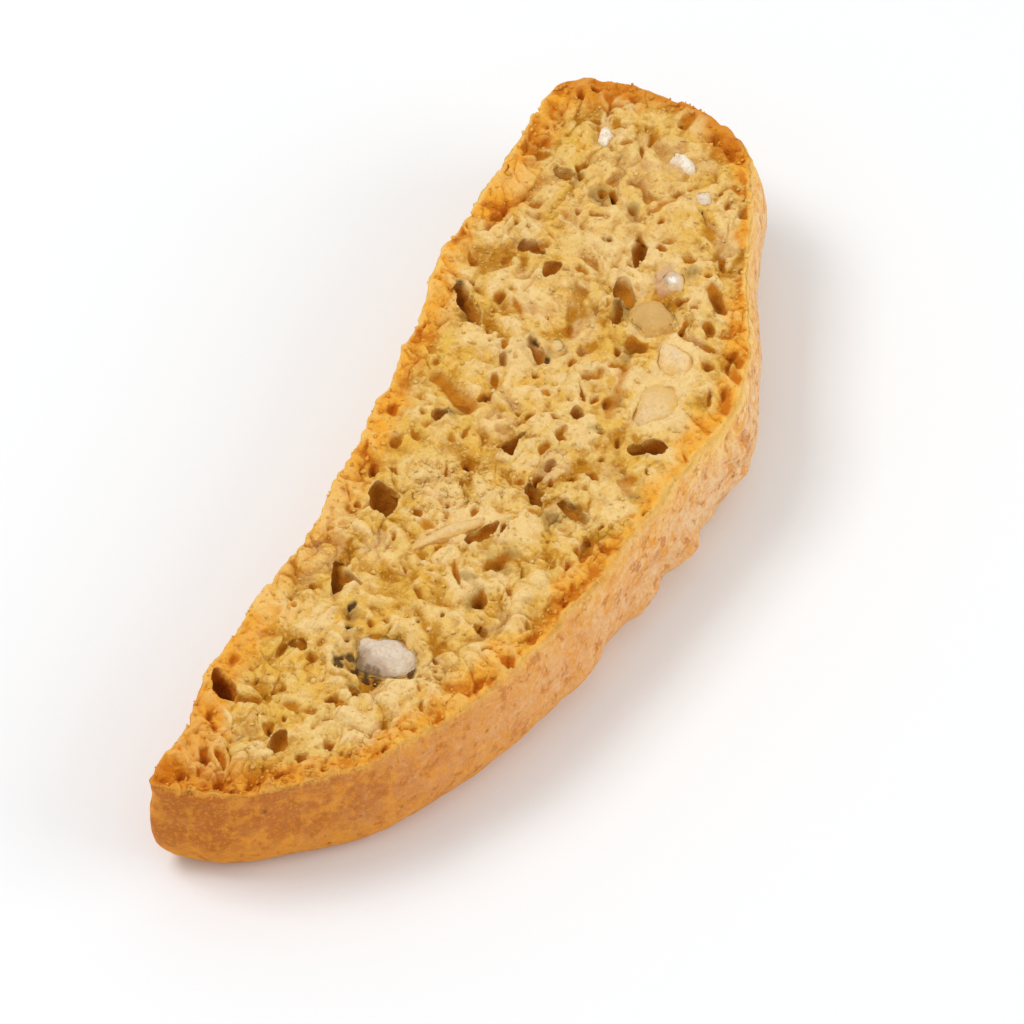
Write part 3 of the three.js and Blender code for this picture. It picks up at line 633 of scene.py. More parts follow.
# Small pits: x, y, half sizes along and across, turn, depth
upperPits = [
    (-48.0, 11.0, 1.0, 0.6, 20, 1.0), (-51.0, 12.3, 0.9, 0.6, 60, 0.9), (-50.0, 8.7, 1.2, 0.6, 30, 0.9),
    (-47.0, 3.0, 1.0, 0.5, -30, 0.9), (-44.2, 2.1, 0.8, 0.6, 0, 1.0), (-41.3, 0.3, 0.7, 0.6, 0, 1.0),
    (-6.0, 11.6, 1.3, 0.7, 0, 1.0), (-2.0, 10.9, 0.8, 0.5, 10, 0.9), (-12.8, 0.8, 0.6, 0.5, 0, 1.0),
    (9.9, 5.4, 0.5, 0.4, 0, 0.9), (12.2, 1.5, 0.6, 0.5, 80, 0.9), (10.3, -0.6, 0.6, 0.4, 10, 0.7),
    (19.8, 1.2, 0.8, 0.4, -10, 0.8), (-6.9, -13.5, 1.7, 0.7, 5, 0.9), (-4.2, -13.3, 0.5, 0.45, 0, 0.9),
    (-9.8, -12.5, 0.6, 0.4, 30, 0.7), (50.3, 12.0, 0.7, 0.5, 60, 0.9), (49.0, 13.3, 0.6, 0.5, 0, 0.9),
    (48.5, -4.5, 0.9, 0.5, 40, 0.9), (49.2, -1.7, 0.5, 0.4, 0, 0.8), (37.7, 4.2, 1.0, 0.5, 30, 1.0),
    (33.2, -0.7, 0.9, 0.5, 30, 1.2), (25.4, -12.6, 0.9, 0.8, 60, 1.1), (20.9, -14.1, 0.9, 0.7, 60, 1.1),
    (22.0, -16.2, 1.3, 0.4, 15, 0.8), (16.5, -16.5, 1.2, 0.4, 20, 0.8), (18.0, -17.6, 1.2, 0.4, 10, 0.7),
    (25.3, 11.0, 0.8, 0.6, 0, 0.8), (38.6, 8.7, 0.5, 0.4, 0, 0.9), (32.0, 1.9, 0.5, 0.4, 90, 0.8),
    (36.8, 1.8, 0.6, 0.5, 30, 0.8), (37.0, -1.7, 0.5, 0.4, 0, 0.8), (35.0, -9.7, 1.0, 0.4, 20, 0.8),
    (41.7, -7.2, 0.9, 0.5, 30, 0.7), (-27.0, -5.2, 0.6, 0.35, 40, 0.8), (-33.5, -6.5, 0.9, 0.35, 0, 0.7),
    (-24.2, -12.0, 1.1, 0.8, -20, 0.9), (-28.0, -10.6, 1.2, 0.6, -15, 0.9),
    (-20.0, -12.8, 1.0, 0.6, -10, 0.8), (-34.5, 0.6, 0.6, 0.5, 0, 0.9), (-17.0, 3.0, 0.9, 0.3, 60, 0.7),
    (1.0, -8.0, 0.5, 0.4, 0, 0.8), (44.5, 4.2, 1.0, 0.35, 25, 0.6), (47.0, 4.0, 1.4, 0.5, 20, 0.6),
    (42.0, 14.3, 1.3, 0.6, -15, 0.7), (20.7, -6.6, 1.8, 1.1, 62, 1.3), (27.6, -8.4, 1.1, 0.4, 120, 1.1),
    (27.6, -5.2, 0.7, 0.4, 20, 1.0), (29.8, -11.4, 2.4, 0.9, 36, 1.1), (-17.6, -5.9, 1.1, 0.7, 20, 1.2),
    (24.2, -10.0, 1.6, 0.5, 8, 1.1), (11.9, -7.0, 0.9, 0.5, 20, 1.0), (18.8, -4.9, 1.1, 0.4, 20, 1.0),
    (16.3, -5.6, 0.5, 0.6, 0, 0.9), (19.3, -8.7, 0.7, 0.35, 10, 0.9), (27.2, -10.0, 0.6, 0.45, 0, 0.8),
    (-25.2, 3.1, 0.5, 0.35, 20, 0.8), (-24.4, 1.5, 0.5, 0.35, 0, 0.7), (-15.6, -2.5, 1.9, 0.4, 32, 0.9),
    (-22.8, -1.2, 0.5, 0.3, 0, 0.7), (-12.6, -5.4, 2.0, 0.9, -20, 1.2), (-0.2, -4.5, 1.0, 0.5, -15, 1.3),
    (-0.1, -6.1, 0.9, 0.45, 10, 1.1), (-10.0, 4.6, 1.0, 0.6, 60, 1.1), (-7.6, 2.3, 0.6, 0.5, 0, 0.8),
    (-14.0, 5.3, 0.5, 0.35, 20, 0.8), (-4.2, 2.4, 0.6, 0.35, 10, 0.8), (-7.0, -0.6, 0.7, 0.35, 10, 0.8),
    (-5.3, 9.4, 0.6, 0.4, 60, 1.0), (-21.0, -3.5, 0.5, 0.35, 0, 0.8), (-8.5, -4.8, 1.0, 0.35, -5, 0.9),
    (-19.6, 0.2, 1.0, 0.35, 50, 0.8), (5.6, 7.0, 1.3, 0.7, 70, 1.0), (-3.2, 4.8, 0.7, 0.35, 20, 0.7),
    (7.6, -8.3, 0.5, 0.35, 0, 0.8), (7.2, -9.9, 0.8, 0.35, 10, 0.9), (11.3, -4.2, 1.1, 0.3, 48, 0.8),
]
# Cracks: width, depth, then the points they run through
upperCracks = [
    (0.35, 0.9, (27.8, 14.4), (31.0, 14.2), (34.6, 13.1)), (0.3, 0.6, (28.6, 12.0), (30.2, 12.2)),
    (0.3, 0.7, (40.0, -4.3), (38.7, -6.0), (38.0, -8.2)),
    (0.4, 0.6, (19.3, 9.0), (20.6, 4.0), (19.4, 0.8)), (1.1, 1.5, (7.8, 11.0), (6.8, 8.4), (5.6, 5.8)),
    (0.35, 0.6, (-38.8, -3.2), (-35.0, -4.8)), (0.3, 0.5, (-21.4, 5.2), (-21.0, 2.0), (-20.0, -0.6)),
    (0.3, 0.6, (21.6, 7.1), (24.0, 6.7)), (0.3, 0.6, (-18.4, 7.4), (-15.2, 6.8)),
    (0.25, 0.5, (-18.2, 5.8), (-14.6, 5.4)), (0.3, 0.6, (5.2, 2.4), (5.9, 0.2)),
    (0.3, 0.6, (6.8, 3.0), (8.0, 5.2)), (0.3, 0.35, (21.0, 0.2), (24.0, -0.6), (28.5, -0.9)),
    (0.8, 0.9, (10.6, -8.0), (13.2, -7.3), (17.2, -6.5)),
    (0.5, 0.6, (-29.6, 3.4), (-27.4, 4.7), (-24.6, 5.6)),
    (0.3, 0.6, (9.6, -13.0), (9.9, -10.4), (11.6, -8.6)), (0.3, 0.5, (-5.2, -6.4), (-4.6, -9.0)),
]
# Olive and grey patches, partly stains round nut skins, partly painted shade in crevices and beside the tip's
# nut: x, y, radius
upperStainsAndShade = [
    (-25.0, 5.4, 1.3), (-26.8, 5.0, 1.5), (-28.8, 4.0, 1.9), (-30.6, 3.2, 1.9), (-33.0, 1.6, 1.4),
    (-31.6, 0.6, 1.6), (-30.6, -2.6, 1.2), (-34.6, 0.4, 1.0), (-36.0, -1.2, 1.0), (-18.2, -5.8, 1.4),
    (-12.6, -5.6, 1.9), (-5.2, -8.2, 1.5), (-3.2, -10.0, 1.6), (1.6, -14.8, 1.1), (4.2, 7.0, 1.5),
    (15.6, 2.8, 2.2), (17.4, 11.2, 1.5), (19.6, 13.6, 1.5), (25.3, 11.0, 1.1), (24.4, -2.8, 2.0),
    (19.4, -5.8, 2.2), (32.0, 1.9, 0.9), (37.6, 5.6, 2.0), (36.9, 1.8, 1.1), (38.5, 8.7, 1.1),
    (36.8, -2.2, 1.2), (7.6, -7.4, 1.2), (12.6, -7.4, 1.4), (31.4, -7.4, 1.4), (-15.5, -3.8, 1.8),
    (-11.5, -5.8, 2.0),
]
# Paler places, where nuts lie just under the dough, some painted highlights by the rim and the swellings'
# dips: x, y, half sizes, turn, share
upperPale = [
    (15.4, -11.8, 6.6, 3.4, 5, 0.9), (-32.6, -2.9, 3.2, 2.0, -35, 0.7), (22.0, -11.5, 2.4, 3.2, 0, 0.6),
    (-18.0, -10.2, 3.6, 2.0, 20, 0.6), (13.4, 5.2, 1.0, 3.2, 0, 0.6), (-9.6, 0.2, 5.4, 1.4, -39, 0.7),
    (4.6, 2.4, 2.0, 2.6, -30, 0.6), (14.0, -2.6, 6.0, 2.0, 15, 0.5), (-6.5, 4.0, 5.5, 3.0, 20, 0.5),
    (23.0, 9.0, 2.6, 2.4, 0, 0.5), (43.4, 2.4, 1.2, 3.6, -8, 0.6), (-31.0, 13.4, 4.0, 0.9, 0, 0.7),
    (2.0, -12.0, 3.4, 1.6, 10, 0.5), (46.6, 9.4, 1.6, 0.8, 30, 0.8), (-4.0, -8.0, 1.8, 0.9, 0, 0.6),
    (-43.0, 8.6, 3.0, 1.6, 10, 0.4), (36.0, -4.6, 3.6, 1.6, 10, 0.4), (0.4, -5.0, 0.6, 1.2, 0, 0.8),
    (37.5, 2.0, 12.0, 8.5, 0, 0.5), (27.0, 4.6, 8.0, 5.0, 0, 0.4), (45.4, 0.6, 3.2, 6.0, 0, 0.55),
    (20.4, -0.4, 3.0, 1.8, 0, 0.6), (2.0, -5.2, 2.4, 2.2, 0, 0.7), (8.4, 3.0, 1.8, 2.2, 0, 0.75),
    (0.0, -13.2, 5.0, 1.5, 5, 0.55), (-15.6, 6.6, 3.0, 2.2, 0, 0.65), (-28.0, -5.6, 3.0, 1.8, -20, 0.5),
    (-22.0, -9.0, 3.2, 2.0, 0, 0.45), (33.0, 11.0, 7.0, 2.0, 0, 0.5), (26.0, 2.4, 2.4, 1.6, 0, 0.5),
    (38.5, -9.0, 4.6, 1.8, 22, 0.7), (-18.0, 11.6, 7.0, 2.2, 0, 0.5), (2.0, 7.4, 2.4, 1.8, 0, 0.5),
    (-4.0, -11.4, 1.8, 2.4, 0, 0.5), (14.0, 7.6, 2.0, 1.8, 0, 0.4),
]
# Pinkish places, where a nut's skin shows through: x, y, half sizes, turn, share
upperBlush = [
    (29.4, -5.8, 2.6, 2.0, 40, 0.9), (21.8, -5.6, 1.4, 1.0, 60, 0.5), (45.2, 7.0, 1.4, 0.8, 20, 0.4),
]
# Flecks of dark nut skin, a little sunk: x, y, radius
fleckDepth = 0.6
upperFlecks = [
    (-31.7, 3.3, 0.8), (-30.9, 3.8, 0.7), (-31.5, 0.2, 0.7), (-29.2, -3.5, 0.9), (-24.3, 5.6, 0.7),
    (-26.3, 5.0, 0.45), (-28.2, 4.3, 0.45), (-31.1, 1.8, 0.6), (-31.6, -0.9, 0.5), (-30.6, -2.3, 0.5),
    (-30.0, 2.9, 0.6), (17.0, 11.0, 0.6), (20.4, 14.2, 0.6), (16.2, 3.1, 0.6), (14.6, 1.5, 0.5),
    (37.7, 4.3, 0.5), (-18.0, -5.8, 0.5), (39.6, -4.9, 0.4), (28.0, 8.9, 0.5), (-2.9, -9.6, 0.5),
]

# How much each kind of hollow darkens the crumb: painted shade in the hollow, along with a browner bake
sunkShares = {"hole": 0.9, "pit": 0.85, "crack": 0.4, "bubble": 0.95, "tear": 0.45}

# Toasted band inside the crust, in millimetres from the edge, and how its width changes along the rim
toastBand = {
    "width": 2.5, "trayExtra": 1.0, "bluntExtra": 1.0, "tipExtra": 3.2,
    "hotAt": (-24, 10), "hotExtra": 1.3,        # the rounded side's hottest stretch: middle, half width
    "litRimAt": (39, 6), "litRimLess": 1.4,         # and a stretch left lighter at the rim, a painted highlight
    "paleTrayAt": (-20, 9), "paleTray": 0.6,    # a paler stretch of the tray side
}


# One cut face: places on a grid, moved down into holes and pockets. side is 1 above and -1 below.
def cutFace(points, stepsLong, stepsWide, side):
    grid = patchGrid(points, stepsLong, stepsWide)
    border = borderOf(grid)
    flat = grid.reshape(-1, 2)
    x, y = flat[:, 0], flat[:, 1]
    edge = edgeDistance(flat, border[::2])
    under = side < 0
    fine, torn = tornCrumb(x, y, edge, 140 if under else 40)
    faceNuts = [nut for name, nut in nuts.items() if ("under" in name) == under]
    named = lowerHoles if under else upperHoles
    kept = [hole[:3] for hole in named]
    kept += [(*nut["at"], nut["size"][0]) for nut in faceNuts]
    if under:
        kept.append((relief["restX"], relief["restY"], 5))
    holes = [*named, *scatteredPores(border, kept, 32 if under else 31)]

    # ragged outlines come from looking up each hollow at a bent place
    bentX = wavy(x, x, y, 4, [(0.34, 1.7, 61), (0.18, 0.6, 62)])
    bentY = wavy(y, x, y, 5, [(0.34, 1.7, 63), (0.18, 0.6, 64)])
    hollows = Hollows(x, y)
    for hole in holes:
        hollows.addHole(hole, bentX, bentY)
    openness = np.clip(hollows.down / hollowWall["fullDepth"], 0, 1)
    hollows.down = hollows.down * smoothStep(0, 0.8, edge)
    nutReaches = [nutEdgeReach(nut, x, y) for nut in faceNuts]
    nutClear = np.ones(x.shape)
    for reach in nutReaches:
        nutClear = np.minimum(nutClear, smoothStep(1.0, 1.3, reach))
    clear = nutClear * (1 - np.clip(2 * openness, 0, 1))
    small, pits, cracks, stainAndShade, fleck, pale, blush = (np.zeros(x.shape) for _ in range(7))
    if not under:
        for *ellipse, depth in upperPits:
            reach = ellipseReach(bentX, bentY, *ellipse)
            pits = np.maximum(pits, clear * depth * np.maximum(0, 1 - reach ** 2) ** 0.6)
        for width, depth, *line in upperCracks:
            cracks = np.maximum(cracks, clear * depth * bell(lineDistance(bentX, bentY, line), 0, width))
        for cx, cy, radius in upperStainsAndShade:
            patchy = 0.75 + 0.6 * noise(bentX / 1.3, bentY / 1.3, 8, 66)
            stainAndShade = np.maximum(stainAndShade, patchy * bell(np.hypot(bentX - cx, bentY - cy), 0, radius))
        # these two have looser outlines
        looseX, looseY = x + 1.5 * (bentX - x), y + 1.5 * (bentY - y)
        for *ellipse, share in upperPale:
            reach = ellipseReach(looseX, looseY, *ellipse)
            pale = np.maximum(pale, share * (1 - smoothStep(0.6, 1.15, reach)))
        for *ellipse, share in upperBlush:
            reach = ellipseReach(looseX, looseY, *ellipse)
            blush = np.maximum(blush, share * (1 - smoothStep(0.5, 1.1, reach)))
        for cx, cy, radius in upperFlecks:
            away = np.hypot(bentX - cx, bentY - cy) + 0.25 * noise(x / 0.5, y / 0.5, 9, 67)
            shown = 1 - smoothStep(0.3 * radius, 1.2 * radius, away)
            fleck = np.maximum(fleck, (1 - np.clip(2 * openness, 0, 1)) * shown)
    # few bubbles where a nut lies just under the dough
    crowd = smoothStep(0.3, 1.2, edge) * clear * (0.8 + 0.5 * noise(x / 10, y / 10, 3, 65))
    crowd = crowd * (1 - 0.8 * smoothStep(0.5, 0.75, pale))
    for rule in bubbles:
        small = np.maximum(small, bubbleDepth(bentX, bentY, rule, crowd))
    if not under:
        # a painted highlight on the raised lip round each hole
        pale = np.maximum(pale, 0.5 * hollows.lip * nutClear * smoothStep(1, 3, edge))

    fine = fine * (1 - 0.4 * openness)
    dips = np.maximum(np.maximum(small, pits), cracks)
    if under:
        away = np.hypot(x - relief["restX"], y - relief["restY"]) / relief["restRadius"]
        calm = smoothStep(1, 1.5, away) * smoothStep(0, 2, edge)
        height = np.maximum(0, lowerRelief(x, y, edge) - (fine - dips - 0.2) * calm) + hollows.down
    else:
        rise = upperRelief(x, y, edge)
        over = rise - relief["capHeight"]
        rise = np.where(over > 0, relief["capHeight"] + relief["capShare"] * over, rise)
        rise = rise + fine * smoothStep(-0.3, 0.9, edge) - dips - fleckDepth * fleck
        rise = rise + hollowWall["lipHeight"] * hollows.lip
        for nut, reach in zip(faceNuts, nutReaches):
            lip = nut["proud"] - nutLip - 0.7 * nut["dome"] - 0.8 * nut["bulge"]
            lip = lip - 0.5 * nut["slant"] * nut["size"][1] + nut.get("bury", 0)
            lip = wavy(lip, x, y, 12, [(0.34, 1.5, 70), (0.14, 0.6, 73)])
            rise = mix(rise, lip, 0.8 * bell(np.maximum(reach - 1, 0) * nut["size"][1], 0, 0.6))
        worn = np.clip(1 - edge / biscuit["rimRound"], 0, 1)
        height = topHeight(x) + rise - hollows.down - biscuit["rimRound"] * (1 - np.sqrt(1 - worn ** 2))
    # sunk = how much deeper than its surroundings a place is, from 0 to 1, painted darker as shade and
    # browner bake
    d = sunkShares
    sunk = d["hole"] * openness + d["pit"] * pits + d["crack"] * cracks
    sunk = np.clip(sunk + d["bubble"] * small + d["tear"] * torn, 0, 1)
    # toasted band inside the crust, wider along the tray side, round both ends and where the side was hottest
    t = toastBand
    width = t["width"] + t["trayExtra"] * smoothStep(6, 12, y)
    width = width + t["bluntExtra"] * smoothStep(40, 50, x) + t["tipExtra"] * smoothStep(-41, -50, x)
    width = width + t["hotExtra"] * bell(x, *t["hotAt"]) * smoothStep(0, -6, y)
    # narrower on one stretch of the rounded side, leaving its rim lighter there: a painted highlight
    width = width - t["litRimLess"] * bell(x, *t["litRimAt"]) * smoothStep(-2, -6, y)
    frayed = wavy(edge, x, y, 10, [(1.1, 3.2, 68), (0.7, 1.1, 69)])
    toast = 1 - smoothStep(0.35 * width, 1.2 * width, frayed)
    toast = toast * (1 - t["paleTray"] * bell(x, *t["paleTrayAt"]) * smoothStep(6, 10, y))
    inNut = np.zeros(x.shape, dtype=bool)
    for nut, reach in zip(faceNuts, nutReaches):
        ragged = wavy(1, x, y, 13, [(0.30, 1.8, 77), (0.14, 0.8, 76)])
        pocket = np.maximum(reach * ragged / (1 - nut.get("lap", pocketLap)), reach / 0.96)
        hollows.addPocket(nut, pocket)
        inNut |= pocket < 1
    if under:
        height = np.where(hollows.down > 0, np.maximum(height, hollows.down), height)
    else:
        height = np.where(inNut, topHeight(x) - hollows.down, height)
    places = np.stack([x + hollows.moveX, y + hollows.moveY, height], axis=1)
    baked = np.maximum(0.75 * browned(x), 1.1 * smoothStep(42, 52, x))
    marks = {"sunk": sunk, "edge": edge, "ridge": fine - 0.6 * small, "toast": toast, "stainAndShade": stainAndShade,
             "fleck": fleck, "pale": pale, "blush": blush, "shell": np.zeros(x.shape), "baked": baked}
    return grid, border, places, marks


# points on a unit ball: the foot, rings at even slopes from foot to top, and the top
def ballPoints(rows, columns):
    slope = np.linspace(-math.pi / 2, math.pi / 2, rows + 1)[1:-1, None]
    turn = np.linspace(0, 2 * math.pi, columns, endpoint=False)[None]
    level = np.cos(slope)
    rings = np.stack([level * np.cos(turn), level * np.sin(turn), np.sin(slope) + 0 * turn], axis=-1)
    return np.concatenate([[[0, 0, -1]], rings.reshape(-1, 3), [[0, 0, 1]]])


# quads between a ball's rings, and triangles from its foot and its top to the nearest ring
def ballFaces(count, columns):
    ids = np.arange(1, count - 1).reshape(-1, columns)
    nextColumn = np.roll(ids, -1, axis=1)
    quads = np.stack([ids[:-1], nextColumn[:-1], nextColumn[1:], ids[1:]], axis=-1).reshape(-1, 4)
    caps = np.concatenate([
        np.stack([np.zeros(columns, dtype=int), nextColumn[0], ids[0]], axis=1),
        np.stack([np.full(columns, count - 1), ids[-1], nextColumn[-1]], axis=1),
    ])
    return quads, caps


# Relief of the crust; folds low on the rounded side: x, z, half sizes along and up, rise
crust = {
    "swell": 0.55, "swellSize": 8.0, "trayCalm": 0.6,
    "folds": [(5.5, 4.6, 3.6, 3.0, 1.3), (-2.2, 3.8, 3.2, 2.6, 1.0), (-14.0, 4.4, 4.2, 2.8, 0.6),
              (19.0, 6.5, 5.0, 3.6, 0.7)],
    "wrinkleDepth": 0.42, "wrinkleAt": (13.0, 15.0),    # middle and half width along X
    "dimpleDepth": 0.12,
}


# One ring of crust: its base is drawn in from the rim towards the foot, and then goes outward by
# bulge * sin(pi * z / height) + swell + wrinkles and dimples
def crustRing(rim, foot, outward, height, z, drawn):
    b, c = biscuit, crust
    base = mix(rim, foot, drawn)
    onTray = smoothStep(0.6, 0.95, outward[:, 1]) * (1 - smoothStep(38, 46, np.abs(rim[:, 0])))
    bulge = mix(b["domeBulge"], b["trayBulge"], onTray) * smoothStep(*b["plainTip"], rim[:, 0])
    swell = c["swell"] * (1 - c["trayCalm"] * onTray) * crags(rim[:, 0], rim[:, 1], z, c["swellSize"], 5)
    rounded = outward[:, 1] < 0
    for fx, fz, along, high, rise in c["folds"]:
        reach = np.hypot((rim[:, 0] - fx) / along, (z - fz) / high)
        swell = swell + np.where(rounded, rise * np.maximum(0, 1 - reach ** 2), 0)
    swell = swell * smoothStep(0, 1.5, height - z) * smoothStep(0, 2.5, z)
    x, y = base[:, 0], base[:, 1]
    # wrinkles slant down the rounded side: creases in stretched noise
    slant = x + 0.9 * z + 0.8 * noise(x / 4, y / 4, z / 3, 74)
    wrinkle = np.abs(noise(slant / 3.4, z / 2.4, y / 9, 75)) - 0.3
    share = np.where(rounded, bell(x, *c["wrinkleAt"]), 0) * (1 - 0.75 * smoothStep(8, 14, z)) + 0.15
    dimple = noise(x / 2.1, y / 2.1, z / 1.8, 71) + 0.5 * noise(x / 0.9, y / 0.9, z / 0.9, 72)
    dimple = c["dimpleDepth"] * dimple
    fine = (c["wrinkleDepth"] * share * wrinkle + dimple) * smoothStep(0, 1.5, z)
    places = np.concatenate([base, z[:, None]], axis=1)
    places[:, :2] += outward * (bulge * np.sin(math.pi * z / height) + swell + fine)[:, None]
    return places, fine


# outward = the way from the point before to the point after, a quarter turn clockwise, at length 1
def outwardOf(border):
    turn = np.roll(border, -1, axis=0) - np.roll(border, 1, axis=0)
    out = np.stack([turn[:, 1], -turn[:, 0]], axis=1)
    return out / np.linalg.norm(out, axis=1, keepdims=True)


# The crumbled rim
rimCrumble = {
    "coarse": 0.30, "coarseSize": 2.4,
    "fine": 0.17, "fineSize": 0.9,
    "rougher": 0.7,                      # extra along the tray side and round the blunt end
    "chips": 0.45, "chipSize": 1.5,      # bitten down from above
}


# places near the rim shift sideways by noise, the same on the cut face and the crust
def crumbleRim(places, nearRim):
    r = rimCrumble
    x, y, z = places.T.copy()
    rougher = np.maximum(smoothStep(6, 10, y), smoothStep(40, 46, x))
    for axis in (0, 1):
        shift = r["coarse"] * noise(x / r["coarseSize"], y / r["coarseSize"], z / r["coarseSize"], 81 + axis)
        fine = noise(x / r["fineSize"], y / r["fineSize"], z / r["fineSize"], 83 + axis)
        places[:, axis] += nearRim * (shift + r["fine"] * fine) * (1 + r["rougher"] * rougher)
    chips = np.maximum(0, noise(x / r["chipSize"], y / r["chipSize"], 11, 86) - 0.05)
    places[:, 2] -= r["chips"] * nearRim * chips


# The whole slice: the upper face, rings of crust down from its border, and the lower face on the last ring
def makeSlice():
    b = biscuit
    outline = np.array(b["outline"])
    corner = outline[:, :2]
    spineX = np.clip(corner[:, 0], b["spineStart"], b["spineEnd"])
    spine = np.stack([spineX, np.full(len(corner), b["spineY"])], axis=1)
    inward = spine - corner
    footLine = corner + inward / np.linalg.norm(inward, axis=1, keepdims=True) * outline[:, 2:]
    upGrid, rim, upper, upMarks = cutFace(corner, b["stepsLong"], b["stepsWide"], 1)
    lowGrid, _, lower, lowMarks = cutFace(footLine, b["stepsLong"] // 2, b["stepsWide"] // 2, -1)
    fineFoot = borderOf(patchGrid(footLine, b["stepsLong"], b["stepsWide"]))
    outward = outwardOf(rim)

    upIds = np.arange(len(upper)).reshape(upGrid.shape[:2])
    parts, marks, faces = [upper], [upMarks], [gridQuads(upIds)]
    above = borderOf(upIds)
    triangles = np.zeros((0, 3), dtype=int)
    rimZ = upper[above, 2]
    nextId = len(upper)
    heights = topHeight(rim[:, 0])
    levels = [("rim", k / b["rimRows"]) for k in range(1, b["rimRows"] + 1)]
    levels += [("wall", k / b["wallRows"]) for k in range(1, b["wallRows"] + 1)]
    levels += [("foot", k / b["footRows"]) for k in range(1, b["footRows"])]
    step = 1
    for stretch, share in levels:
        if stretch == "wall" and step == 1:
            # from here down each ring has half as many points
            step = 2
            half, odd, after = above[::2], above[1::2], np.roll(above[::2], -1)
        kept = slice(None, None, step)
        drawn = 0.0
        if stretch == "rim":
            z = mix(rimZ, heights - b["rimDepth"], share)
        elif stretch == "wall":
            z = mix(heights[kept] - b["rimDepth"], b["footHeight"], share)
        else:
            angle = share * math.pi / 2
            z = np.full(len(heights[kept]), b["footHeight"] * (1 - math.sin(angle)))
            drawn = 1 - math.cos(angle)
        ring, fine = crustRing(rim[kept], fineFoot[kept], outward[kept], heights[kept], z, drawn)
        ids = np.arange(nextId, nextId + len(ring))
        nextId += len(ring)
        if len(ids) < len(above):
            nextIds = np.roll(ids, -1)
            triangles = np.concatenate([np.stack(corners, axis=1) for corners in
                                        ((odd, half, ids), (odd, ids, nextIds), (after, odd, nextIds))])
        else:
            faces.append(ringQuads(above, ids))
        parts.append(ring)
        nought = np.zeros(len(ids))
        marks.append({"sunk": nought, "edge": z - heights[kept], "ridge": fine, "toast": nought + 1,
                      "stainAndShade": nought, "fleck": nought, "pale": nought, "blush": nought, "shell": nought + 1,
                      "baked": browned(ring[:, 0])})
        above = ids
    lowIds = np.arange(nextId, nextId + len(lower)).reshape(lowGrid.shape[:2])
    parts.append(lower)
    marks.append(lowMarks)
    faces.append(ringQuads(above, borderOf(lowIds)))
    faces.append(gridQuads(lowIds)[:, ::-1])
    places = np.concatenate(parts)
    allMarks = {key: np.concatenate([m[key] for m in marks]) for key in marks[0]}
    nearRim = bell(np.maximum(allMarks["edge"], 0), 0, 1.2) * smoothStep(-3.0, -0.2, allMarks["edge"])
    nearRim[nextId:] = 0
    crumbleRim(places, nearRim)
    places[:, 1] += b["middleShift"]
    quads = np.concatenate(faces)
    piece = makeMesh("baked_biscotto", places, quads.tolist() + triangles.tolist(), allMarks, b["triangles"])
    print("slice:", len(places), "points thinned to", len(piece.data.polygons), "triangles")
    return piece, places[:len(upper)], upMarks


